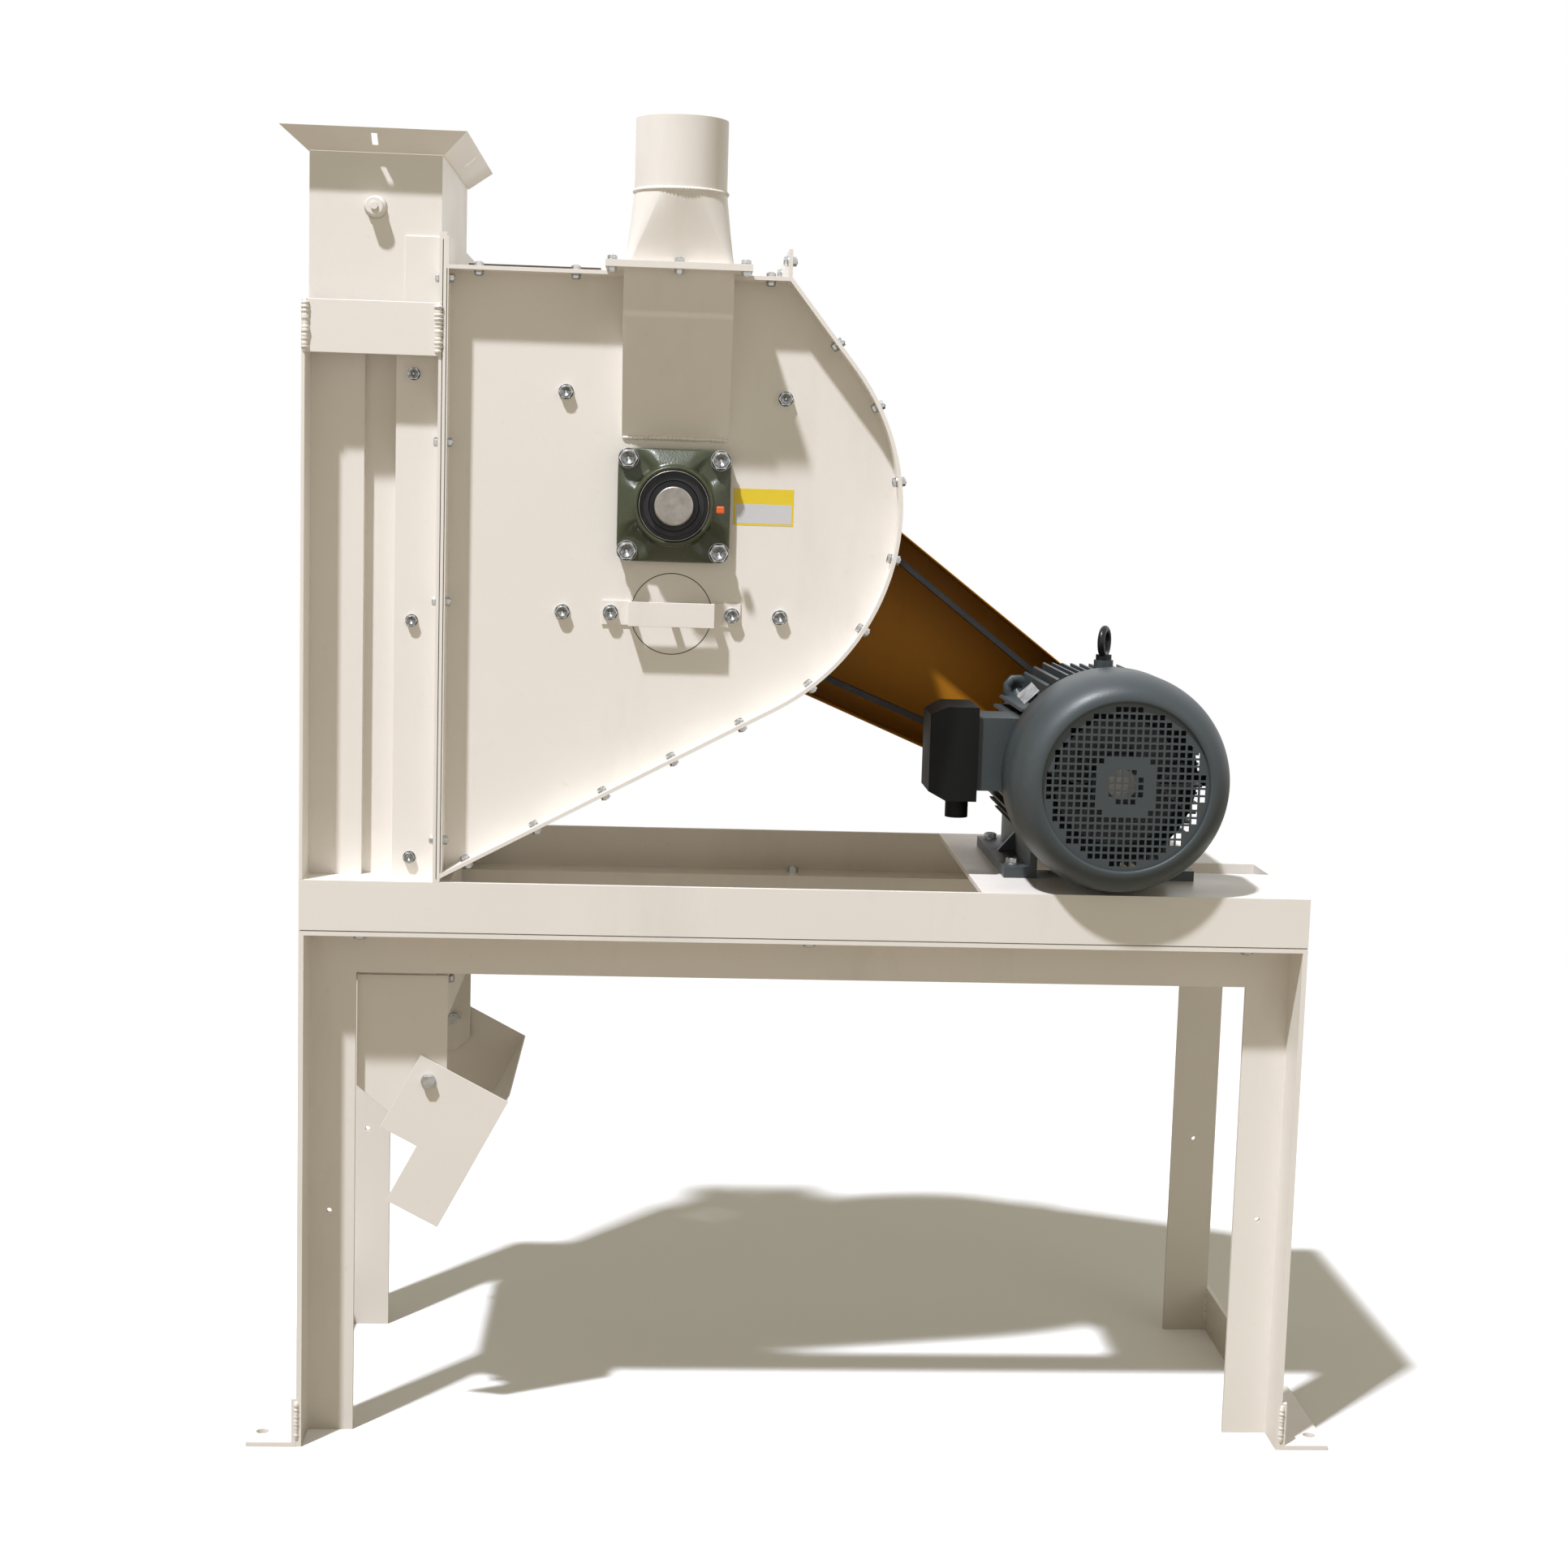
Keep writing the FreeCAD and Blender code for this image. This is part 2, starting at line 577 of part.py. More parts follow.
def legs():
    """Four legs of angle iron, each with its web towards the middle and a small hole in it."""
    for name, end, side in (("front_left", "left_end", 1), ("front_right", "right_end", -1),
                            ("back_left", "left_end", 1), ("back_right", "right_end", -1)):
        edge, away = ("front", -1) if name.startswith("front") else ("back", 1)
        iron = angle_iron("leg_iron_" + name, "XY_Plane", (end, "%s - %s * angle_leg" % (edge, away)),
                          (side, away), "0", "ring_top - angle_wall")
        hole = along_y("leg_hole_" + name, "leg_hole_radius", "2 * angle_leg",
                       "%s + %s * angle_leg / 2" % (end, side), "%s - angle_leg" % edge, "leg_hole_height")
        node(cut("cut_leg_" + name, iron, [hole]), "leg_" + name)


def floor_rails():
    """Angle irons on the floor outside the legs, with anchor holes at both ends."""
    rails = []
    for name, end, side in (("left", "left_end", -1), ("right", "right_end", 1)):
        iron = angle_iron("floor_iron_" + name, "XZ_Plane", (end, "0"), (side, 1), "-back", "frame_depth")
        x = "%s + %s * anchor_reach" % (end, side)
        holes = [rod("anchor_%s_%d" % (name, k), "anchor_radius", "2 * angle_wall", x, y, "-angle_wall / 2")
                 for k, y in enumerate(("front + anchor_inset", "back - anchor_inset"))]
        rails.append(cut("cut_floor_" + name, iron, holes))
    node(group("floor_irons", rails), "floor_rails")


def stand_rails(drills):
    """The ring of angle irons on the legs, its flange outwards and its web downwards."""
    flange = ("ring_top - angle_wall", "ring_top")
    ends = (("left", ("left_end", "left_end + angle_leg")), ("right", ("right_end - angle_leg", "right_end")))
    rails = []
    for name, edge, side in (("front", "front", 1), ("back", "back", -1)):
        iron = angle_iron("stand_iron_" + name, "YZ_Plane", ("%s + %s * angle_leg" % (edge, side), "ring_top"),
                          (-side, -1), "left_end + angle_leg", "frame_length - 2 * angle_leg")
        y = (edge, edge + " + angle_leg") if side > 0 else (edge + " - angle_leg", edge)
        tips = [block("stand_tip_%s_%s" % (name, end), x, y, flange) for end, x in ends]
        rails.append(cut("cut_stand_" + name, fused("stand_whole_" + name, [iron] + tips), drills))
    for name, end, side in (("left", "left_end", 1), ("right", "right_end", -1)):
        iron = angle_iron("stand_iron_" + name, "XZ_Plane", ("%s + %s * angle_leg" % (end, side), "ring_top"),
                          (-side, -1), "-back + angle_leg", "frame_depth - 2 * angle_leg")
        rails.append(cut("cut_stand_" + name, iron, drills))
    node(group("stand_long_irons", rails[:2]), "stand_long_rails")
    node(group("stand_side_irons", rails[2:]), "stand_side_rails")


def base_rails(drills):
    """The base frame of angle irons, its flange inwards and its web upwards."""
    rails = []
    for name, edge, side in (("front", "front", 1), ("back", "back", -1)):
        iron = angle_iron("base_iron_" + name, "YZ_Plane", (edge, "ring_top"), (side, 1), "left_end",
                          "frame_length")
        rails.append(cut("cut_base_" + name, iron, drills))
    for name, end, side in (("left", "left_end", 1), ("right", "right_end", -1)):
        iron = angle_iron("base_iron_" + name, "XZ_Plane", (end, "ring_top"), (side, 1), "-back + angle_leg",
                          "frame_depth - 2 * angle_leg")
        x = (end, end + " + angle_wall") if side > 0 else (end + " - angle_wall", end)
        tips = [block("base_tip_%s_%d" % (name, k), x, y, ("ring_top + angle_wall", "rail_top"))
                for k, y in enumerate((("front + angle_wall", "front + angle_leg"),
                                       ("back - angle_leg", "back - angle_wall")))]
        rails.append(cut("cut_base_" + name, fused("base_whole_" + name, [iron] + tips), drills))
    node(group("base_long_irons", rails[:2]), "base_long_rails")
    node(group("base_side_irons", rails[2:]), "base_side_rails")


def panel_drills():
    """Bolts that hold the front and back panels to the welded strips behind them."""
    x = "box_right - panel_bolt_inset"
    heights = ("panel_bolt_low", "panel_bolt_middle", "panel_bolt_high")
    return [drill("panel_%s_%d" % (name, k), "panel_bolt_radius", "2 * sheet_wall", x, y, z, turn, "x")
            for name, y, turn in (("front", "front + panel_near", "-90"),
                                  ("back", "casing_back - panel_near", "90"))
            for k, z in enumerate("rail_top + " + height for height in heights)]


def column(window, panels, walls):
    """Side plates, crossbars and folded panels of the air column, on their floor plate."""
    x_neck = ("chute_x + sheet_wall", "box_right")
    y_neck = ("chute_near + sheet_wall", "chute_far - sheet_wall")
    plate = block("floor_blank", ("left_end + angle_wall", "left_end + floor_plate_reach"),
                  ("front + angle_wall", "back - angle_wall"), ("rail_top - floor_plate_wall", "rail_top"))
    opening = block("floor_opening", x_neck, y_neck, ("rail_top - 2 * floor_plate_wall", "rail_top + 1"))
    node(cut("cut_floor_plate", plate, [opening]), "column_floor_plate")
    y = ("front", "casing_back")
    left = block("left_plate", ("left_end", "box_left"), y, ("rail_top", "rail_top + column_height"))
    node(left, "column_left_plate")
    right = block("right_blank", ("box_right", "column_right"), y, ("rail_top", "rail_top + column_lip"))
    strips = [block("strip_" + name, ("box_right - 1.5 * panel_bolt_inset", "box_right"),
                    (start, start + " + sheet_wall"), ("rail_top", "ring_floor"))
              for name, start in (("front", "front + panel_near + sheet_wall"),
                                  ("back", "casing_back - panel_near - 2 * sheet_wall"))]
    node(cut("cut_right_plate", fused("right_whole", [right] + strips), [window] + panels + walls),
         "column_right_plate")
    x = ("box_left", "box_right")
    z = ("rail_top + column_height - crossbar_height", "rail_top + column_height")
    node(group("crossbars", [block("bar_" + name, x, span, z) for name, span in (
        ("front", ("front", "front + column_wall")), ("back", ("casing_back - column_wall", "casing_back")))]),
         "column_crossbars")
    near = "front + panel_near"
    middle = "front + panel_middle"
    far = "front + panel_far"
    step = "box_left + panel_left_width"
    turn = "box_left + panel_left_width + panel_far_width"
    panel = body("front_panel")
    drawing = sketch(panel, "front_panel_section", "XY_Plane", "rail_top")
    polygon(drawing, [
        ("box_left", middle),
        (step, middle),
        (step, far),
        (turn, far),
        (turn, near),
        ("box_right", near),
        ("box_right", near + " + sheet_wall"),
        (turn + " + sheet_wall", near + " + sheet_wall"),
        (turn + " + sheet_wall", far + " + sheet_wall"),
        (step + " - sheet_wall", far + " + sheet_wall"),
        (step + " - sheet_wall", middle + " + sheet_wall"),
        ("box_left", middle + " + sheet_wall"),
    ])
    pad(panel, drawing, "ring_floor - rail_top")
    node(cut("cut_front_panel", panel, panels), "column_front_panel")
    rear = block("rear_panel", x, ("casing_back - panel_near - sheet_wall", "casing_back - panel_near"),
                 ("rail_top", "ring_floor"))
    node(cut("cut_rear_panel", rear, panels), "column_back_panel")


def air_box():
    """Square duct on the column with its flared mouth and a damper flap on a spindle."""
    x = ("box_left", "box_right")
    y = ("box_front", "box_back")
    outside = block("box_blank", x, y, ("box_floor", "box_top"))
    ledge = block("box_ledge", x, ("box_front - box_ledge", "box_back + box_ledge"),
                  ("ring_floor", "box_floor"))
    inside = block("box_space", ("box_left + sheet_wall", "box_right - sheet_wall"),
                   ("box_front + sheet_wall", "box_back - sheet_wall"), ("ring_floor - 1", "box_top + 1"))
    bosses = [along_y("boss_" + name, "flap_boss_radius", "flap_boss_length", "flap_x", start, "flap_height")
              for name, start in (("front", "box_front - flap_boss_length"), ("back", "box_back"))]
    start = "box_front - flap_boss_length - sheet_wall"
    run = "box_back + flap_boss_length + sheet_wall - (%s)" % start
    hole = along_y("spindle_hole", "flap_radius + running", run, "flap_x", start, "flap_height")
    node(cut("cut_air_box", fused("box_whole", [outside, ledge] + bosses), [inside, hole]), "air_box")
    spindle = along_y("spindle", "flap_radius", run, "flap_x", start, "flap_height")
    flap = block("flap", ("flap_x - sheet_wall / 2", "flap_x + sheet_wall / 2"),
                 ("box_front + sheet_wall + flap_gap", "box_back - sheet_wall - flap_gap"),
                 ("flap_height - flap_half", "flap_height + flap_half"))
    node(fused("flap_whole", [spindle, flap]), "damper_flap")


def rectangle(x, y, z):
    """A flat closed wire over two spans at one height."""
    corners = [(x[0], y[0]), (x[1], y[0]), (x[1], y[1]), (x[0], y[1]), (x[0], y[0])]
    return Part.makePolygon([Vector(a, b, z) for a, b in corners])


def grown(span, margin):
    return (span[0] - margin, span[1] + margin)


def air_box_flare():
    """Four sheets that lean outwards round the mouth of the box, with a slot in each."""
    x = (places.box_left, places.box_right)
    y = (places.box_front, places.box_back)
    wall = sizes.sheet_wall
    low = sizes.box_top - wall
    high = sizes.box_top + sizes.flare_rise
    reach = sizes.flare_reach
    outer = Part.makeLoft([rectangle(grown(x, wall), grown(y, wall), low),
                           rectangle(grown(x, reach + wall), grown(y, reach + wall), high)], True, True)
    inner = Part.makeLoft([rectangle(x, y, low), rectangle(grown(x, reach), grown(y, reach), high)], True, True)
    shell = outer.cut(inner)
    middle = Vector(sum(x) / 2, sum(y) / 2, low)
    for sign in (-1, 1):
        for across, along in (((x[1] - x[0]) / 2, 0), (0, (y[1] - y[0]) / 2)):
            spot = middle + Vector(sign * across, sign * along, 0)
            spot += Vector(sign * (across > 0), sign * (along > 0), 0) * sizes.flare_slot_reach
            size = (sizes.flare_slot_length, sizes.flare_slot_width)
            size = size if across else size[::-1]
            slot = Part.makeBox(size[0], size[1], 3 * sizes.flare_rise,
                                spot - Vector(size[0] / 2, size[1] / 2, sizes.flare_rise))
            shell = shell.cut(slot)
    feature("air_box_flare", shell)


def chute():
    """Neck through the base frame and the discharge chute that hangs on it."""
    y = ("chute_near", "chute_far")
    neck = block("neck_blank", ("chute_x + sheet_wall + fit", "box_right - fit"),
                 ("chute_near + sheet_wall + fit", "chute_far - sheet_wall - fit"),
                 ("chute_top - neck_lap", "rail_top"))
    space = block("neck_space", ("chute_x + 2 * sheet_wall", "box_right - sheet_wall"),
                  ("chute_near + 2 * sheet_wall", "chute_far - 2 * sheet_wall"),
                  ("chute_top - neck_lap - 1", "rail_top + 1"))
    holes = []
    for name, x, grip, turn in (("left", "chute_x", "2 * sheet_wall + fit", "90"),
                                ("right", "chute_right", "chute_right - box_right + sheet_wall + fit", "-90")):
        holes += [drill("chute_drill_%s_%d" % (name, k), "edge_bolt_radius", grip, x, spot,
                        "chute_top - neck_lap / 2", turn)
                  for k, spot in enumerate(("chute_near + chute_bolt_inset", "chute_far - chute_bolt_inset"))]
    node(cut("cut_neck", neck, [space] + holes), "chute_neck")
    ends = []
    for name, start in (("front", "-chute_near"), ("back", "-chute_far + sheet_wall")):
        wall = body("chute_wall_" + name)
        drawing = sketch(wall, "chute_outline_" + name, "XZ_Plane", start)
        polygon(drawing, [
            ("chute_x", "chute_top"),
            ("chute_x", "chute_left_bottom"),
            ("chute_x + chute_slant", "chute_tip"),
            ("chute_right - chute_corner", "chute_tip"),
            ("chute_right", "chute_tip + chute_corner"),
            ("chute_right", "chute_top"),
        ])
        pad(wall, drawing, "sheet_wall", True)
        ends.append(wall)
    left = block("chute_left_wall", ("chute_x", "chute_x + sheet_wall"), y, ("chute_left_bottom", "chute_top"))
    right = block("chute_right_wall", ("chute_right - sheet_wall", "chute_right"), y,
                  ("chute_right_bottom", "chute_top"))
    lip = block("chute_lip", ("box_right", "chute_right"), y, ("chute_top - sheet_wall", "chute_top"))
    pins = spout_drills()
    node(cut("cut_chute", fused("chute_whole", ends + [left, right, lip]), holes + pins), "discharge_chute")
    spout(pins)
    return holes


def spout_drills():
    """Holes of the two pivot bolts through spout and chute."""
    grip = "spout_wall + spout_gap + sheet_wall + fit"
    return [drill("pivot_front", "pivot_radius", grip, "pivot_x", "chute_near - spout_gap - spout_wall - fit",
                  "pivot_height", "-90", "x"),
            drill("pivot_back", "pivot_radius", grip, "pivot_x", "chute_far + spout_gap + spout_wall + fit",
                  "pivot_height", "90", "x")]


def spout(pins):
    """Open tilting spout: two stepped cheeks and a bottom sheet, hung on two bolts."""
    right = "spout_width - pivot_inset"
    low = "pivot_inset - spout_length"
    step = "pivot_inset - spout_head"
    near = "chute_near - spout_gap - spout_wall"
    far = "chute_far + spout_gap + spout_wall"
    cheeks = []
    for name, start in (("front", "-(%s)" % near), ("back", "-(%s) + spout_wall" % far)):
        cheek = body("cheek_" + name)
        drawing = sketch(cheek, "cheek_outline_" + name, "XZ_Plane", start)
        polygon(drawing, [
            ("-pivot_inset", "pivot_inset"),
            (right, "pivot_inset"),
            (right, low),
            (right + " - spout_mouth", low),
            (right + " - spout_mouth", step),
            ("-pivot_inset", step),
        ])
        pad(cheek, drawing, "spout_wall", True)
        cheeks.append(cheek)
    bottom = block("spout_bottom", (right + " - spout_wall", right), (near, far), (low, "pivot_inset"))
    whole = fused("spout_whole", cheeks + [bottom])
    whole.Placement = Placement(Vector(), Rotation(Vector(0, 1, 0), 1))
    bind(whole, "Placement.Rotation.Angle", "spout_tilt")
    move(whole, "pivot_x", "0", "pivot_height")
    node(cut("cut_spout", whole, pins), "spout")
    sleeves = []
    for name, start in (("front", "chute_near - spout_gap + fit"), ("back", "chute_far")):
        tube = along_y("sleeve_" + name, "pivot_radius + sleeve_wall", "spout_gap - fit", "pivot_x", start,
                       "pivot_height")
        bore = along_y("sleeve_bore_" + name, "pivot_radius + fit", "spout_gap + 2", "pivot_x", start + " - 1",
                       "pivot_height")
        sleeves.append(cut("cut_sleeve_" + name, tube, [bore]))
    grip = sizes.spout_wall + sizes.spout_gap + sizes.sheet_wall + sizes.fit
    pair = bolts("pivot_bolts", [(pins, sizes.pivot_radius, grip)], False)
    node(group("pivots", [pair] + sleeves), "spout_pivots")


def outline(drawing, inset, side="0"):
    """The casing seen from the front: flat top, tangent line, round part, tangent line, flat side."""
    radius = "(casing_radius - %s)" % inset
    left = "wall_right + " + side

    def tangent(angle):
        return ("axis_x + %s * cos(%s)" % (radius, angle), "shaft_height + %s * sin(%s)" % (radius, angle))

    corner = "axis_x + (%s - (corner_z - %s) * sin(upper_angle)) / cos(upper_angle)" % (radius, inset)
    foot = "shaft_height + (%s - (%s - axis_x) * cos(lower_angle)) / sin(lower_angle)" % (radius, left)
    points = [(left, foot), (left, "casing_top - " + inset), (corner, "casing_top - " + inset),
              tangent("upper_angle"), tangent("lower_angle")]
    axis = Vector(places.axis_x, sizes.shaft_height, 0)
    low, high = math.radians(places.lower_angle), math.radians(places.upper_angle)
    curve = Part.ArcOfCircle(Part.Circle(axis, Vector(0, 0, 1), sizes.casing_radius), low, high)
    ends = [curve.EndPoint, curve.StartPoint]
    start = [Vector(places.wall_right, sizes.rail_top, 0), Vector(places.wall_right, sizes.casing_top, 0),
             Vector(places.lip_x, sizes.casing_top, 0)]
    for first, second in ((start[0], start[1]), (start[1], start[2]), (start[2], ends[0])):
        drawing.addGeometry(Part.LineSegment(first, second))
    drawing.addGeometry(curve)
    drawing.addGeometry(Part.LineSegment(ends[1], start[0]))
    for pair in ((0, 2, 1, 1), (1, 2, 2, 1), (2, 2, 3, 2), (3, 1, 4, 1), (4, 2, 0, 1)):
        drawing.addConstraint(Sketcher.Constraint("Coincident", *pair))
    for (edge, end), point in zip(((0, 1), (1, 1), (2, 1), (2, 2), (4, 1)), points):
        fix_point(drawing, edge, end, point)
    fix(drawing, "Radius", (3,), radius)


def casing_drills():
    """Bolts around both rims, through the flat wall and through the lips of the top joint."""
    inner = "(casing_radius - 2 * sheet_wall - rim_seat)"
    grip = "2 * sheet_wall + rim_seat"
    turns = ["upper_angle - edge_bolt_first - edge_bolt_turn * %d" % k for k in range(5)]
    spots = [("axis_x + %s * cos(%s)" % (inner, turn), "shaft_height + %s * sin(%s)" % (inner, turn), turn)
             for turn in turns]
    lines = [("upper_angle", "-edge_bolt_upper")]
    lines += [("lower_angle", "(%g * edge_bolt_pitch)" % (k + 0.5)) for k in range(5)]
    spots += [("axis_x + %s * cos(%s) + %s * sin(%s)" % (inner, turn, run, turn),
               "shaft_height + %s * sin(%s) - %s * cos(%s)" % (inner, turn, run, turn), turn)
              for turn, run in lines]
    spots += [(x, "casing_top - " + grip.replace("+", "-"), "90")
              for x in ("wall_right + top_bolt_left", "wall_right + top_bolt_middle", "lip_x - top_bolt_right")]
    rims, walls = [], []
    for name, y in (("front", "front + edge_bolt_depth"), ("back", "casing_back - edge_bolt_depth")):
        rims += [drill("rim_%s_%d" % (name, k), "edge_bolt_radius", grip, x, y, z, "90 - (%s)" % turn)
                 for k, (x, z, turn) in enumerate(spots)]
        walls += [drill("wall_%s_%d" % (name, k), "edge_bolt_radius", "grip_wall", "box_right", y,
                        "rail_top + wall_bolt_" + height, "90")
                  for k, height in enumerate(("lowest", "low", "high", "top"))]
    lips = [drill("lip_drill_%d" % k, "edge_bolt_radius", "2 * sheet_wall", "lip_x - sheet_wall", y,
                  "casing_top + joint_bolt_rise", "90")
            for k, y in enumerate(("front + edge_bolt_depth", "front + casing_depth / 2",
                                   "casing_back - edge_bolt_depth"))]
    return rims, walls, lips


def plate_drills(name, y, turn):
    """Bolts through an end plate into the ring of the screen cage."""
    return [drill("%s_drill_%d%d" % (name, i, k), "plate_bolt_radius", "plate_wall + ring_wall",
                  "axis_x + %d * plate_bolt_offset" % i, y, "shaft_height + %d * plate_bolt_offset" % k,
                  turn, "x")
            for i in (-1, 1) for k in (-1, 1)]


def housing_drills(name, y, turn):
    """Bolts of a bearing housing through its flange and the end plate."""
    return [drill("%s_bolt_%d%d" % (name, i, k), "housing_bolt_radius", "housing_flange + plate_wall",
                  "axis_x + %d * housing_bolt_pitch / 2" % i, y,
                  "shaft_height + %d * housing_bolt_pitch / 2" % k, turn, "x")
            for i in (-1, 1) for k in (-1, 1)]


def dish(name, start, hollow, tools):
    """An end plate with its rim, cut from one thickness of outline."""
    plate = body(name + "_body")
    drawing = sketch(plate, name + "_outline", "XZ_Plane", "-(%s)" % start)
    outline(drawing, "sheet_wall")
    pad(plate, drawing, "plate_recess + plate_wall", True)
    inside = sketch(plate, name + "_inside", "XZ_Plane", "-(%s)" % hollow)
    outline(inside, "2 * sheet_wall", "sheet_wall")
    pocket(plate, inside, "plate_recess")
    node(cut("cut_" + name, plate, tools), name)


def casing(window, rims, walls, lips):
    """Two dished end plates, the sheets round them and the flat wall on the column's side."""
    front_cage = plate_drills("front_cage", "plate_front", "-90")
    back_cage = plate_drills("back_cage", "plate_back", "90")
    front_housing = housing_drills("front_housing", "plate_front - housing_flange", "-90")
    back_housing = housing_drills("back_housing", "plate_back + housing_flange", "90")
    shaft_hole = along_y("shaft_hole", "shaft_radius + shaft_hole_gap", "casing_depth", "axis_x", "front",
                         "shaft_height")
    notch = block("feed_notch", ("feed_left - fit", "feed_right + fit"), ("front - 1", "plate_front"),
                  ("casing_top - 2 * sheet_wall - 1", "casing_top + 1"))
    mouth = block("feed_mouth", ("feed_left + mouth_side", "feed_right - mouth_side"),
                  ("plate_front - 1", "plate_inner + 1"),
                  ("feed_bottom + mouth_sill", "feed_bottom + feed_mouth"))
    hatch = along_y("hatch_hole", "hatch_radius + fit", "2 * plate_wall", "axis_x", "plate_front - 1",
                    "hatch_z")
    straps = [drill("strap_drill_%d" % k, "plate_bolt_radius", "sheet_wall + plate_wall",
                    "axis_x + %d * strap_pitch / 2" % k, "plate_front - sheet_wall", "hatch_z", "-90", "x")
              for k in (-1, 1)]
    feet = feed_drills()
    dish("casing_front_plate", "front", "front", [group("front_rims", rims), group("front_walls", walls),
         shaft_hole, notch, mouth, hatch] + front_cage + front_housing + straps)
    dish("casing_back_plate", "back_inner", "plate_back", [group("back_rims", rims),
         group("back_walls", walls), shaft_hole] + back_cage + back_housing)
    shell = body("shell")
    drawing = sketch(shell, "shell_outline", "XZ_Plane", "-front")
    outline(drawing, "0")
    pad(shell, drawing, "casing_depth", True)
    inside = sketch(shell, "shell_inside", "XZ_Plane", "-front")
    outline(inside, "sheet_wall")
    pocket(shell, inside, "casing_depth")
    y = ("front", "casing_back")
    split = block("split", ("wall_right - 1", "lip_x"), ("front - 1", "casing_back + 1"),
                  ("casing_top - 2 * sheet_wall", "casing_top + 1"))
    rise = ("casing_top - sheet_wall", "casing_top + joint_rise")
    sheet = block("top_sheet", ("wall_right", "lip_x"), y, ("casing_top - sheet_wall", "casing_top"))
    upstand = block("top_upstand", ("wall_right", "wall_right + sheet_wall"), y, rise)
    lip = block("top_lip", ("lip_x - sheet_wall", "lip_x"), y, rise)
    tools = [group("top_rims", rims), group("top_lips", lips), notch] + feet[3:]
    node(cut("cut_top", fused("top_whole", [sheet, upstand, lip]), tools), "casing_top_plate")
    curve_lip = block("curve_lip", ("lip_x", "lip_x + sheet_wall"), y, ("casing_top", rise[1]))
    round_sheet = fused("round_whole", [cut("round_sheet", shell, [split]), curve_lip])
    node(cut("cut_wrapper", round_sheet, [group("wrapper_rims", rims), group("wrapper_lips", lips)]),
         "casing_wrapper")
    wall = block("wall_blank", ("column_right", "wall_right"), y, ("rail_top", "rail_top + column_lip"))
    node(cut("cut_wall", wall, [window, group("wall_drills", walls)]), "casing_wall_plate")
    grip = 2 * sizes.sheet_wall
    bolts("casing_edge_bolts", [(rims, sizes.edge_bolt_radius, grip + sizes.rim_seat),
                                (lips, sizes.edge_bolt_radius, grip)])
    bolts("end_plate_bolts", [(front_cage + back_cage, sizes.plate_bolt_radius,
                               sizes.plate_wall + sizes.ring_wall),
                              (straps, sizes.plate_bolt_radius, sizes.sheet_wall + sizes.plate_wall, False)])
    bolts("bearing_bolts", [(front_housing + back_housing, sizes.housing_bolt_radius,
                             sizes.housing_flange + sizes.plate_wall)])
    hatch_cover(straps)
    feed(feet)
    bearings(front_housing, back_housing)
    screen_cage(front_cage + back_cage)


def hatch_cover(straps):
    """Round hatch in the front plate, held by a hat-shaped strap and a stud."""
    node(along_y("hatch_disc", "hatch_radius", "plate_wall", "axis_x", "plate_front", "hatch_z"), "hatch_disc")
    outer = "strap_length / 2"
    inner = "strap_raised / 2"
    proud = "plate_front - strap_rise"
    section = [(-1, outer, "plate_front - sheet_wall"),
               (-1, inner + " + sheet_wall", "plate_front - sheet_wall"),
               (-1, inner + " + sheet_wall", proud), (1, inner + " + sheet_wall", proud),
               (1, inner + " + sheet_wall", "plate_front - sheet_wall"), (1, outer, "plate_front - sheet_wall"),
               (1, outer, "plate_front"), (1, inner, "plate_front"), (1, inner, proud + " + sheet_wall"),
               (-1, inner, proud + " + sheet_wall"), (-1, inner, "plate_front"), (-1, outer, "plate_front")]
    strap = body("strap")
    drawing = sketch(strap, "strap_section", "XY_Plane", "hatch_z - strap_width / 2")
    polygon(drawing, [("axis_x + %d * (%s)" % (sign, x), y) for sign, x, y in section])
    pad(strap, drawing, "strap_width")
    stud = along_y("stud", "plate_bolt_radius", "strap_rise", "axis_x", proud, "hatch_z")
    node(cut("cut_strap", fused("strap_whole", [strap, stud]), straps), "hatch_strap")


def feed_drills():
    """Bolts of the feed flanges: three in front, and three behind that go through the top sheet."""
    places_x = ["axis_x + %d * feed_bolt_pitch" % k for k in (-1, 0, 1)]
    front_row = [drill("feed_front_%d" % k, "edge_bolt_radius", "2 * feed_flange_wall", x,
                       "feed_front - feed_flange_margin / 2", "flange_top", "180")
                 for k, x in enumerate(places_x)]
    back_row = [drill("feed_back_%d" % k, "edge_bolt_radius", "2 * feed_flange_wall + sheet_wall", x,
                      "plate_front + feed_flange_margin / 2 + plate_wall / 2", "flange_top", "180")
                for k, x in enumerate(places_x)]
    return front_row + back_row


